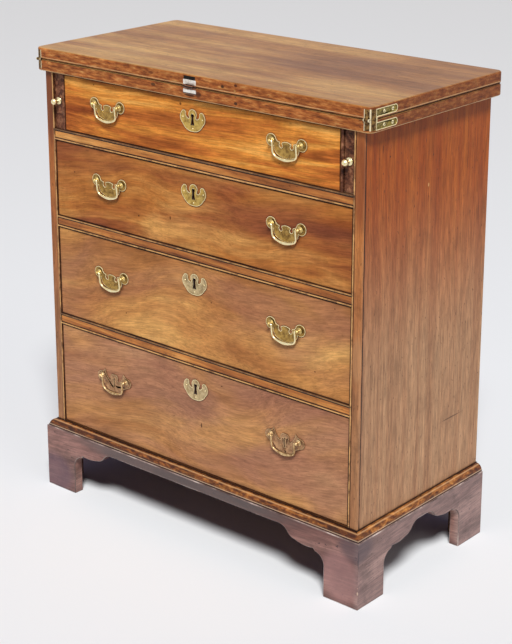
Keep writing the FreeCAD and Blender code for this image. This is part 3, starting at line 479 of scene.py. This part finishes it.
        **arris, "tones": [(30, 16, 10), (50, 26, 16), (84, 46, 28), (150, 96, 60)], "dark": (24, 12, 8),
        "spread": 0.16, "shift": (1, 2, 3), "shine": 0.2, "rough": 0.4,
    },
    "oakLining": {
        **oak, "grain": "y", "tones": [(130, 96, 62), (158, 120, 82), (176, 138, 98), (194, 158, 116)],
        "shift": (1, 1, 1),
    },
    "oakBack": {
        **oak, "tones": [(126, 92, 60), (152, 116, 80), (170, 132, 94), (188, 152, 112)], "shift": (3, 1, 2),
    },
    "pineBack": {
        **pine, "tones": [(112, 80, 52), (142, 106, 70), (162, 124, 86), (182, 146, 104)], "dark": (56, 36, 22),
    },
    "pineBoard": {
        **pine, "tones": [(72, 50, 34), (92, 66, 46), (106, 78, 54), (126, 96, 70)], "dark": (44, 30, 20),
    },
}


def nodeBox(node):
    corners = [Vector(corner) for corner in cadNodes[node].bound_box]
    return [[pick(c[k] for c in corners) for k in range(3)] for pick in (min, max)]


for n in drawerNumbers:
    woodLooks[f"mahoganyDrawer{n}"]["crack"] = nodeBox(f"drawer_{n}_front")
    woodLooks[f"mahoganyDrawer{n}"]["spots"].append(keyholeShade(n))
finishes = {name: woodMaterial(name, look) for name, look in woodLooks.items()}
print("wood finishes:", len(finishes))


plainMetal = {"cloud": 130, "specks": 900, "clear": (0.38, 0.68), "tarnish": 0.9, "rough": (0.34, 0.5),
              "metal": 0.8, "nookShadeAmount": 0.85, "nookShadeReach": 0.003, "nookShadeRange": (0.25, 0.8), "lines": []}


def metalMaterial(name, ownLook):
    look = {**plainMetal, **ownLook}
    g = Graph(bpy.data.materials.new(name))
    place = g.add("TexCoord").outputs["Object"]
    axes = g.axes(place)
    cloud = g.noise(place, scale=look["cloud"], detail=5, roughness=0.7)
    speck = g.noise(place, scale=look["specks"], roughness=0.6)
    bright, dull, dark = look["tones"]
    colour = g.cover(paint(bright), dull, g.remap(cloud, *look["clear"]), look["tarnish"])
    colour = g.cover(colour, dark, g.remap(speck, 0.6, 0.72), 0.4)
    for axis, middle, half, shade, amount in look["lines"]:
        colour = g.cover(colour, shade, g.stripe(axes[axis], middle, half, 0.7), amount)
    # painted shade in hollows and between the parts of a brass, with tarnish
    colour = g.cover(colour, dark, g.nookShade(look["nookShadeReach"], *look["nookShadeRange"]), look["nookShadeAmount"])
    roughness = g.remap(g.plus(cloud, g.times(speck, 0.4)), 0.4, 1, *look["rough"])
    height = g.plus(g.times(cloud, relief["cloud"]), g.times(speck, relief["speck"]))
    return g.finish(colour, roughness, {"Normal": g.bump(height), "Metallic": look["metal"]})


metalLooks = {
    "brassRim": {
        "tones": [(255, 240, 190), (240, 214, 150), (96, 68, 32)], "cloud": 160, "tarnish": 0.35,
        "rough": (0.26, 0.42), "metal": 0.75,
    },
    "brassField": {"tones": [(188, 152, 82), (116, 86, 42), (46, 30, 14)], "rough": (0.36, 0.55), "metal": 0.85},
    "brassKeyplate": {"tones": [(214, 180, 96), (150, 116, 54), (62, 44, 20)]},
    "brassKeyplatePale": {"tones": [(208, 184, 138), (154, 130, 90), (66, 48, 32)], "metal": 0.7},
    "brassBright": {
        "tones": [(255, 242, 194), (226, 198, 134), (64, 44, 18)], "cloud": 140, "tarnish": 0.5,
        "rough": (0.22, 0.38), "metal": 1,
    },
    "brassPost": {
        "tones": [(222, 196, 128), (160, 132, 70), (48, 32, 14)], "cloud": 150, "tarnish": 0.8, "metal": 0.9,
    },
    "brassRimOld": {"tones": [(216, 184, 140), (156, 120, 82), (52, 34, 22)], "cloud": 190, "metal": 0.7},
    "brassFieldOld": {
        "tones": [(184, 142, 102), (138, 100, 70), (58, 36, 24)], "cloud": 150, "tarnish": 0.95,
        "rough": (0.4, 0.6), "metal": 0.5,
    },
    "brassBailOld": {
        "tones": [(228, 196, 144), (144, 110, 68), (44, 28, 18)], "cloud": 190, "tarnish": 0.95,
        "rough": (0.32, 0.5), "metal": 0.85,
    },
    "hingeFront": {
        "tones": [(150, 116, 66), (74, 50, 28), (26, 16, 10)], "cloud": 180, "tarnish": 1, "rough": (0.3, 0.55),
        "clear": (0.42, 0.58),
        # bright lines at the hinges' corner edges: painted highlights
        "lines": [("x", side * at, half, (255, 240, 200), 0.9) for side in (-1, 1)
                  for at, half in ((0.3766, 0.0011), (0.3668, 0.0008))],
    },
    "hingeBrass": {
        "tones": [(160, 140, 66), (68, 50, 24), (24, 15, 8)], "cloud": 210, "tarnish": 0.95, "rough": (0.35, 0.6),
        "metal": 0.75,
    },
    "hingeSteel": {
        "tones": [(250, 246, 238), (206, 180, 150), (90, 60, 40)], "cloud": 120, "tarnish": 0.6,
        "rough": (0.3, 0.45), "metal": 0.5, "nookShadeAmount": 0.3,
        "lines": [("z", 0.8431, 0.005, (128, 72, 36), 0.95), ("z", 0.8434, 0.0014, (20, 10, 6), 1),
                  ("z", 0.8318, 0.0016, (60, 30, 18), 0.9)],
    },
    # the dark of screw slots and keyholes: painted shade of a recess
    "slotShade": {
        "tones": [(34, 26, 18), (20, 14, 10), (12, 8, 6)], "cloud": 60, "tarnish": 0.5, "rough": (0.8, 0.9),
        "metal": 0,
    },
    "ironDull": {
        "tones": [(96, 90, 84), (64, 56, 50), (40, 26, 18)], "cloud": 60, "tarnish": 0.8, "rough": (0.5, 0.75),
    },
}
finishes.update((name, metalMaterial(name, look)) for name, look in metalLooks.items())
print("metal finishes:", len(metalLooks))


def copyOf(node, test=None, wanted=True):
    # the construction's mesh, or only the faces whose middle passes a test, or fails it
    bm = bmesh.new()
    bm.from_mesh(cadNodes[node].data)
    if test:
        unwanted = [f for f in bm.faces if test(f.calc_center_median()) != wanted]
        bmesh.ops.delete(bm, geom=unwanted, context="FACES")
    bmesh.ops.remove_doubles(bm, verts=bm.verts, dist=1e-6)
    bmesh.ops.dissolve_limit(bm, angle_limit=radians(0.5), verts=bm.verts, edges=bm.edges)
    return bm


def newObject(name, data):
    thing = bpy.data.objects.new(name, data)
    bpy.context.scene.collection.objects.link(thing)
    return thing


def settle(piece, body, smooth):
    piece.data.shade_smooth()
    piece.data.set_sharp_from_angle(angle=radians(smooth))
    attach(piece, body)


def newPiece(name, bm, body, used, node, smooth=35):
    # a piece that replaces a node of the construction; edges sharper than smooth degrees stay sharp
    piece = newObject(name, bpy.data.meshes.new(name))
    bm.to_mesh(piece.data)
    bm.free()
    for finish in used:
        piece.data.materials.append(finishes[finish])
    settle(piece, body, smooth)
    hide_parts(node)
    return piece


def easedBoard(name, source, body, wood, ease=0.0008, arris="grimyArris"):
    # the board of the construction with its arrises rubbed round
    piece = newPiece(name, copyOf(*source), body, [wood, arris], source[0])
    bevel = piece.modifiers.new("rubbedEdges", "BEVEL")
    bevel.width = ease
    bevel.segments = 2
    bevel.limit_method = "ANGLE"
    bevel.angle_limit = radians(40)
    bevel.harden_normals = True
    bevel.material = 1
    return piece


stileFrom = 0.34699  # metres to either side


def isStile(middle):
    return abs(middle.x) > stileFrom


easedBoards = {
    # node and the test for a part of it, body, wood, and the width and finish of its rubbed arrises
    "stiles": (("front_facings", isStile), "carcase", "mahoganyFacing"),
    "railStrips": (("front_facings", isStile, False), "carcase", "mahoganyRail", 0.0006),
    "sideLeft": (["carcase_side_left"], "carcase", "mahoganySide"),
    "sideRight": (["carcase_side_right"], "carcase", "mahoganySide"),
    "baseBoards": (["bracket_base"], "carcase", "mahoganyBase", 0.0015, "paleArris"),
    "backBoards": (["back_boards"], "carcase", "pineBack", 0.0012),
    "loperLeft": (["loper_left"], "left_loper", "mahoganyLoper", 0.0008, "wornArris"),
    "loperRight": (["loper_right"], "right_loper", "mahoganyLoper", 0.0008, "wornArris"),
}
for n in drawerNumbers:
    body = f"drawer_{n}"
    easedBoards[f"drawerFront{n}"] = ([f"{body}_front"], body, f"mahoganyDrawer{n}", 0.0006)
    easedBoards[f"drawerBox{n}"] = ([f"{body}_box"], body, "oakLining", 0.0009, "oakLining")
drawerBack = {"from": 0.148, "leastArea": 0.01}  # where a drawer box's back board starts, metres
for name, board in easedBoards.items():
    piece = easedBoard(name, *board)
    if name.startswith("drawerBox"):
        # the back board's grain runs across the drawer
        piece.data.materials.append(finishes["oakBack"])
        for face in piece.data.polygons:
            across = abs(face.normal.x) < 0.5 and face.area > drawerBack["leastArea"]
            if face.center.y > drawerBack["from"] and across:
                face.material_index = 2

plainNodes = {
    "mahoganyTop": ["lower_leaf", "upper_leaf"],
    "mahoganyBead": ["cockbeads"],
    "mahoganyMoulding": ["base_mouldings"],
    "mahoganyLoper": ["loper_partitions"],
    "pineBoard": ["carcase_bottom", "drawer_rails", "runners_and_guides", "dust_boards", "rear_brackets",
                  "glue_blocks"],
    "oakLining": ["drawer_stops"] + [f"drawer_{n}_bottom" for n in drawerNumbers],
    "ironDull": ["hinge_pins"] + [f"drawer_{n}_lock" for n in drawerNumbers],
}
for finish, nodes in plainNodes.items():
    for node in nodes:
        for slot in cadNodes[node].material_slots:
            slot.material = finishes[finish]
print("boards finished")


def ring(bm, middle, side, other, radius, segments):
    turns = [2 * pi * k / segments for k in range(segments)]
    return [bm.verts.new(middle + (side * cos(t) + other * sin(t)) * radius) for t in turns]


def skin(bm, rings):
    # quads between rings, with both ends closed
    count = len(rings[0])
    for a, b in zip(rings, rings[1:]):
        for k in range(count):
            following = (k + 1) % count
            bm.faces.new((a[k], a[following], b[following], b[k]))
    bm.faces.new(list(reversed(rings[0])))
    bm.faces.new(rings[-1])


def turned(bm, origin, forward, profile, segments=28):
    # a turned piece: pairs of reach along its axis and radius, in millimetres
    forward = Vector(forward)
    side = Vector((1, 0, 0)) if abs(forward.x) < 0.5 else Vector((0, 0, 1))
    other = forward.cross(side)
    skin(bm, [ring(bm, Vector(origin) + forward * reach / 1000, side, other, radius / 1000, segments)
              for reach, radius in profile])


def wire(bm, path, radii, segments=18):
    # round wire along a path that stays in one x-z plane
    rings = []
    for k, (middle, radius) in enumerate(zip(path, radii)):
        ahead = (path[min(k + 1, len(path) - 1)] - path[max(k - 1, 0)]).normalized()
        side = Vector((0, 1, 0))
        rings.append(ring(bm, middle, side, ahead.cross(side), radius, segments))
    skin(bm, rings)


def arc(middle, radius, start, end, steps):
    # points round a centre in the x-z plane, angles in degrees
    angles = [radians(start + (end - start) * k / steps) for k in range(steps + 1)]
    return [Vector((middle[0] + radius * cos(a), 0, middle[1] + radius * sin(a))) for a in angles]


handles = {
    # millimetres and degrees
    "centre": 206, "heights": (779.5, 638.5, 463, 260.5), "spacing": 61, "stand": 8,
    "armInset": 5.3, "bend": 2.1, "armLength": 14.2, "corner": 9.7, "turn": 69, "lean": 6.5,
    "wire": 1.7, "pin": 1.3, "grip": 2.9, "nut": (9.8, 2.9, 9.8), "nutMiddle": 21.6,
}
postProfile = [(-24, 2), (1.5, 2), (1.5, 5.3), (1.8, 5.6), (2.2, 5.6), (2.5, 5.2), (2.6, 4.4), (2.9, 4.1),
               (3.3, 4), (3.6, 3.4), (4, 2.7), (4.6, 2.3), (5.2, 2.2)]


def ballProfile(middle, radius, first, last, dimple=0):
    # rings of a ball round the axis from one angle to another, with an optional hollow in front
    steps = [(middle + radius * sin(radians(a)), radius * cos(radians(a)))
             for a in range(first, last + 1, 10)]
    if dimple:
        steps += [(steps[-1][0] - dimple * 0.3, steps[-1][1] * 0.8), (steps[-1][0] - dimple, steps[-1][1] * 0.35)]
    return steps


def bailPath():
    # half of a hanging bail from the pin to the middle of the grip, and the radius at each point
    h = handles
    armX, half = h["spacing"] / 2 - h["armInset"], h["spacing"] / 2
    armEnd = -h["bend"] - h["armLength"]
    turn = radians(h["turn"])
    cornerX = armX - h["corner"] * (1 - cos(turn))
    cornerZ = armEnd - h["corner"] * sin(turn)
    rest = pi / 2 - turn
    gripRadius = cornerX / sin(rest)
    path = [Vector((half + 0.8, 0, 0)), Vector((armX + h["bend"] + 0.35, 0, 0))]
    radii = [h["pin"], h["pin"]]
    bend = arc((armX + h["bend"], -h["bend"]), h["bend"], 90, 180, 8)
    corner = arc((armX - h["corner"], armEnd), h["corner"], 0, -h["turn"], 14)
    arms = [Vector((armX, 0, -h["bend"] - h["armLength"] * k / 4)) for k in range(1, 4)]
    path += bend + arms + corner
    radii += [h["wire"]] * (len(bend) + len(arms) + len(corner))
    steps = 18
    for k in range(1, steps + 1):
        share = 1 - k / steps
        angle = rest * share
        path.append(Vector((gripRadius * sin(angle), 0,
                            cornerZ + gripRadius * cos(rest) - gripRadius * cos(angle))))
        radii.append(h["wire"] + (h["grip"] - h["wire"]) * (1 + cos(pi * share)) / 2)
    return path, radii


def newBrass(name, bm, body, brass, node, smooth=35):
    bmesh.ops.recalc_face_normals(bm, faces=bm.faces)
    newPiece(name, bm, body, [brass], node, smooth)


def makeBail(n, hand, sign):
    path, radii = bailPath()
    path += [Vector((-p.x, p.y, p.z)) for p in reversed(path[:-1])]
    radii += list(reversed(radii[:-1]))
    bm = bmesh.new()
    wire(bm, [p / 1000 for p in path], [r / 1000 for r in radii])
    z = handles["heights"][n - 1] / 1000
    place = Vector((sign * handles["centre"] / 1000, faceY - handles["stand"] / 1000, z))
    bm.transform(Matrix.Translation(place) @ Matrix.Rotation(radians(handles["lean"]), 4, "X"))
    brass = "brassBailOld" if n == 4 else "brassBright"
    newBrass(f"bail{n}{hand}", bm, f"bail_{n}_{hand}", brass, f"drawer_{n}_bail_{hand}")


def makePosts(n):
    # four turned posts and their square nuts inside the drawer
    bm = bmesh.new()
    profile = postProfile + ballProfile(8, 3.2, -40, 70) + [(11.3, 0.9), (11.6, 0.5)]
    nut = Matrix.Diagonal([c / 1000 for c in handles["nut"]] + [1])
    z = handles["heights"][n - 1] / 1000
    for centre in (-handles["centre"], handles["centre"]):
        for end in (-1, 1):
            x = (centre + end * handles["spacing"] / 2) / 1000
            turned(bm, (x, faceY, z), (0, -1, 0), profile)
            middle = Matrix.Translation((x, faceY + handles["nutMiddle"] / 1000, z))
            bmesh.ops.create_cube(bm, size=1, matrix=middle @ nut)
    brass = "brassBailOld" if n == 4 else "brassPost"
    newBrass(f"handlePosts{n}", bm, f"drawer_{n}", brass, f"drawer_{n}_handle_posts", 40)


def sinkField(bm, faces, look, rimMaterial=0):
    # a raised rim round the given faces, the rest a little lower and of the second material
    edges = bmesh.ops.inset_region(bm, faces=faces, thickness=look["rim"], depth=0, use_even_offset=True)
    for face in edges["faces"]:
        face.material_index = rimMaterial
    faces = [f for f in faces if f.is_valid]
    walls = bmesh.ops.inset_region(bm, faces=faces, thickness=look["slope"], depth=-look["sink"],
                                   use_even_offset=True)
    for face in faces + walls["faces"]:
        face.material_index = 1


plateLook = {
    # metres, and the size of the place round a keyhole painted dark as its shade
    "rim": 0.0009, "slope": 0.0005, "sink": 0.0006, "round": 0.0003, "keyhole": (0.0042, 0.0105),
}


def makePlate(name, node, body, used, keyhole=None):
    # cast plate of the construction's outline: rounded outside, raised rim, sunk field
    bm = copyOf(node)
    sinkField(bm, [f for f in bm.faces if f.normal.y < -0.99], plateLook)
    outside = [e for e in bm.edges if len(e.link_faces) == 2 and e.calc_face_angle(0) > 1.2
               and min(f.normal.y for f in e.link_faces) < -0.99]
    bmesh.ops.bevel(bm, geom=outside, offset=plateLook["round"], segments=2, affect="EDGES", profile=0.5,
                    clamp_overlap=True)
    if keyhole:
        # the keyhole's walls and the rim round it are made dark: painted shade of the hole
        used.append("slotShade")
        width, height = plateLook["keyhole"]
        for face in bm.faces:
            middle = face.calc_center_median()
            if face.material_index == 0 and abs(middle.x) < width and abs(middle.z - keyhole) < height:
                face.material_index = 2
    newPiece(name, bm, body, used, node, 30)


knob = {"apart": 0.333, "height": 0.7695, "back": frontY + 0.003}
knobProfile = [(-13.5, 2.15), (0, 2.15), (0, 6.5), (0.4, 6.8), (1.4, 6.8), (1.9, 6.4), (2.1, 5.2),
               (2.6, 4.6), (3.2, 3.4), (4.2, 2.7), (5.6, 2.5), (6.6, 2.9)]


def makeKnob(hand, sign):
    bm = bmesh.new()
    place = (sign * knob["apart"], knob["back"], knob["height"])
    profile = knobProfile + ballProfile(12, 6, -50, 60, dimple=1.2)
    turned(bm, place, (0, -1, 0), profile, segments=32)
    newBrass(f"loperKnob{hand}", bm, f"{hand}_loper", "brassBright", f"loper_knob_{hand}", 40)


for n in drawerNumbers:
    body, age = f"drawer_{n}", "Old" if n == 4 else ""
    keyplate = "brassKeyplatePale" if n > 2 else "brassKeyplate"
    makePosts(n)
    makePlate(f"handlePlates{n}", f"{body}_handle_plates", body, ["brassRim" + age, "brassField" + age])
    makePlate(f"escutcheon{n}", f"{body}_escutcheon", body, ["brassRim", keyplate],
              keyholeHeights[n - 1] / 1000 + 0.001)
    for hand, sign in hands:
        makeBail(n, hand, sign)
for hand, sign in hands:
    makeKnob(hand, sign)
print("brasses made")


hingeLook = {"rim": 0.0013, "slope": 0.0003, "sink": 0.0006, "cornersFrom": 0.1, "strapsFrom": 0.38,
             "strapArea": 2e-4}


def isCorner(middle):
    return abs(middle.x) > hingeLook["cornersFrom"]


def isStrap(face):
    outside = abs(face.calc_center_median().x) > hingeLook["strapsFrom"]
    return outside and abs(face.normal.x) > 0.99 and face.calc_area() > hingeLook["strapArea"]


def makeHinge(name, node, body):
    # corner straps of tarnished brass with bright rims, and the pale plate in the middle
    corners = copyOf(node, isCorner)
    sinkField(corners, [f for f in corners.faces if isStrap(f)], hingeLook, 2)
    newPiece(name + "Corners", corners, body, ["hingeFront", "hingeBrass", "brassRim"], node)
    newPiece(name + "Centre", copyOf(node, isCorner, False), body, ["hingeSteel", "brassRim"], node)


makeHinge("hingeLower", "hinge_lower_plates", "carcase")
makeHinge("hingeUpper", "hinge_upper_plates", "folding_top")
print("hinges made")


def fixingHeads():
    # node group: a round head at every point, domed or slotted
    group = bpy.data.node_groups.new("fixingHeads", "GeometryNodeTree")
    inputs = {"Places": "Geometry", "Radius": "Float", "Height": "Float", "Facing": "Vector",
              "Slotted": "Bool", "Seed": "Int", "Head": "Material", "Slot": "Material"}
    for label, kind in inputs.items():
        group.interface.new_socket(label, in_out="INPUT", socket_type="NodeSocket" + kind)
    group.interface.new_socket("Heads", in_out="OUTPUT", socket_type="NodeSocketGeometry")
    g = Graph(group)
    given = g.add("NodeGroupInput").outputs
    radius, height = given["Radius"], given["Height"]

    ball = g.out("GeometryNodeMeshUVSphere", {"Segments": 16, "Rings": 10, "Radius": radius})
    flat = g.joined({0: 1, 1: 1, 2: g.math("DIVIDE", height, radius)})
    dome = g.out("GeometryNodeTransform", {"Geometry": ball, "Scale": flat})
    head = g.out("GeometryNodeSetMaterial", {"Geometry": dome, "Material": given["Head"]})
    # the slot is a dark bar through the head: painted shade of a recess
    size = g.joined({0: g.times(radius, 1.7), 1: g.times(radius, 0.3), 2: g.times(height, 2.1)})
    bar = g.out("GeometryNodeMeshCube", {"Size": size})
    slot = g.out("GeometryNodeSetMaterial", {"Geometry": bar, "Material": given["Slot"]})
    both = g.add("GeometryNodeJoinGeometry", {0: head})
    g.tree.links.new(slot, both.inputs[0])
    choices = {0: given["Slotted"], 1: head, 2: both.outputs[0]}
    fixing = g.out("GeometryNodeSwitch", choices, input_type="GEOMETRY")

    spin = g.add("FunctionNodeRandomValue", {3: pi, "Seed": given["Seed"]}).outputs[1]
    spin = g.out("FunctionNodeEulerToRotation", {0: g.joined({2: spin})})
    aim = g.out("FunctionNodeAlignRotationToVector", {"Vector": given["Facing"]}, axis="Z")
    turn = g.out("FunctionNodeRotateRotation", {0: aim, 1: spin}, rotation_space="LOCAL")
    values = {"Points": given["Places"], "Instance": fixing, "Rotation": turn}
    heads = g.out("GeometryNodeInstanceOnPoints", values)
    g.add("NodeGroupOutput", {0: g.out("GeometryNodeRealizeInstances", {0: heads})})
    return group


headGroup = fixingHeads()
fixingKinds = {
    # radius and height of the head in metres, metal, and whether it has a slot
    "keyplatePin": (0.0013, 0.0008, "brassRim", False), "strapScrew": (0.0032, 0.0006, "brassRim", True),
    "lockScrew": (0.0026, 0.0007, "ironDull", True), "bottomNail": (0.0022, 0.0004, "ironDull", False),
    "backNail": (0.0026, 0.0007, "ironDull", False),
}
keyplatePins = [(0, -14), (-22.5, 4), (22.5, 4)]
strapScrews = {"across": 380.35, "reach": (34, 56), "levels": (832.25, 854)}
lockScrews = {"across": 25, "up": 6, "down": 8}
bottomNails = {"shares": (-0.94, -0.47, 0, 0.47, 0.94), "inset": 6}
backNails = {"across": 348, "shares": (0.15, 0.85)}


def fixings(name, body, places, facing, kind, seed):
    # places in millimetres; every head faces the same way
    radius, height, head, slotted = fixingKinds[kind]
    piece = newObject(name, bpy.data.meshes.new(name))
    piece.data.from_pydata([[c / 1000 for c in place] for place in places], [], [])
    modifier = piece.modifiers.new("heads", "NODES")
    modifier.node_group = headGroup
    values = {"Radius": radius, "Height": height, "Facing": facing, "Slotted": slotted, "Seed": seed,
              "Head": finishes[head], "Slot": finishes["slotShade"]}
    for item in headGroup.interface.items_tree:
        if item.in_out == "INPUT" and item.name in values:
            modifier[item.identifier] = values[item.name]
    bpy.context.view_layer.update()
    ready = bpy.data.meshes.new_from_object(piece.evaluated_get(bpy.context.evaluated_depsgraph_get()))
    piece.modifiers.remove(modifier)
    piece.data = ready
    settle(piece, body, 40)


for n, z in zip(drawerNumbers, keyholeHeights):
    places = [(x, faceY * 1000 - 1, z + up) for x, up in keyplatePins]
    fixings(f"keyplatePins{n}", f"drawer_{n}", places, (0, -1, 0), "keyplatePin", n)
for hand, sign in hands:
    for level, z, body in zip(("Lower", "Upper"), strapScrews["levels"], ("carcase", "folding_top")):
        places = [(sign * strapScrews["across"], leafY * 1000 + reach, z) for reach in strapScrews["reach"]]
        fixings(f"strapScrews{level}{hand.title()}", body, places, (sign, 0, 0), "strapScrew", 7)
for n in drawerNumbers:
    low, high = nodeBox(f"drawer_{n}_lock")
    levels = (low[2] * 1000 + lockScrews["up"], high[2] * 1000 - lockScrews["down"])
    places = [(x, high[1] * 1000, z) for x in (-lockScrews["across"], lockScrews["across"]) for z in levels]
    fixings(f"lockScrews{n}", f"drawer_{n}", places, (0, 1, 0), "lockScrew", n)
    low, high = nodeBox(f"drawer_{n}_bottom")
    y, z = high[1] * 1000 - bottomNails["inset"], low[2] * 1000
    places = [(high[0] * 1000 * share, y, z) for share in bottomNails["shares"]]
    fixings(f"bottomNails{n}", f"drawer_{n}", places, (0, 0, -1), "bottomNail", n)
low, high = nodeBox("back_boards")
step = (high[2] - low[2]) * 250  # millimetres from one of the four boards to the next
places = [(sign * backNails["across"], high[1] * 1000, low[2] * 1000 + step * (board + share))
          for hand, sign in hands for board in range(4) for share in backNails["shares"]]
fixings("backNails", "carcase", places, (0, 1, 0), "backNail", 3)
print("fixings placed")


studio = {
    "floorNear": (231, 233, 234), "floorFar": (211, 211, 210), "floorSize": 60, "fadeReach": (0.9, 7),
    "worldTone": (226, 225, 228), "worldLevel": 0.06, "fillTone": (0.9, 0.74, 1.2, 1),
    "cameraPlace": (1.87748, -2.19938, 1.4395), "cameraTurn": 40.628, "cameraDrop": 17.105,
    "lens": 93.521, "rise": -0.14286,
}
lamps = {
    # azimuth, elevation and softness in degrees, level
    "keyLamp": (42, 52, 15, 3.75),
    "sideLamp": (80, 42, 26, 0.2),
}


def makeFloor():
    g = Graph(bpy.data.materials.new("studioFloor"))
    # the floor's colour darkens with distance from its middle: painted falloff of the light
    reach = g.vector("LENGTH", g.add("TexCoord").outputs["Object"])
    away = g.math("POWER", g.remap(reach, *studio["fadeReach"]), 0.45)
    colour = g.cover(paint(studio["floorNear"]), studio["floorFar"], away)
    material = g.finish(colour, 0.9, {"Specular IOR Level": 0})
    bpy.ops.mesh.primitive_plane_add(size=studio["floorSize"])
    floor = bpy.context.object
    floor.name = "studioFloor"
    floor.data.materials.append(material)


def makeWorld():
    # a pale backdrop for the camera and for reflections, a faint even light for the rest
    bpy.context.scene.world = bpy.data.worlds.new("studioWorld")
    g = Graph(bpy.context.scene.world)
    rays = g.add("LightPath").outputs
    through = g.math("MAXIMUM", rays["Is Glossy Ray"], rays["Is Transmission Ray"])
    seen = g.math("MAXIMUM", rays["Is Camera Ray"], through)
    light = g.out("Background", {"Color": studio["fillTone"], "Strength": studio["worldLevel"]})
    backdrop = g.out("Background", {"Color": paint(studio["worldTone"])})
    g.add("OutputWorld", {0: g.out("MixShader", {0: seen, 1: light, 2: backdrop})})


def direction(azimuth, elevation):
    a, e = radians(azimuth), radians(elevation)
    return Vector((sin(a) * cos(e), -cos(a) * cos(e), sin(e)))


def aimed(data, back, place):
    # a lamp or camera at a place, looking against a direction
    thing = newObject(data.name, data)
    thing.location = place
    thing.rotation_euler = (-back).to_track_quat("-Z", "Y").to_euler()
    return thing


def makeLamps():
    for name, (azimuth, elevation, softness, level) in lamps.items():
        data = bpy.data.lights.new(name, "SUN")
        data.angle = radians(softness)
        data.energy = level
        back = direction(azimuth, elevation)
        aimed(data, back, back * 4)


def makeCamera():
    data = bpy.data.cameras.new("camera")
    data.sensor_width = 36
    data.lens = studio["lens"]
    data.shift_y = studio["rise"]
    back = direction(studio["cameraTurn"], studio["cameraDrop"])
    bpy.context.scene.camera = aimed(data, back, studio["cameraPlace"])


makeFloor()
makeWorld()
makeLamps()
makeCamera()
bpy.context.scene.view_settings.view_transform = "Standard"
print("studio ready")
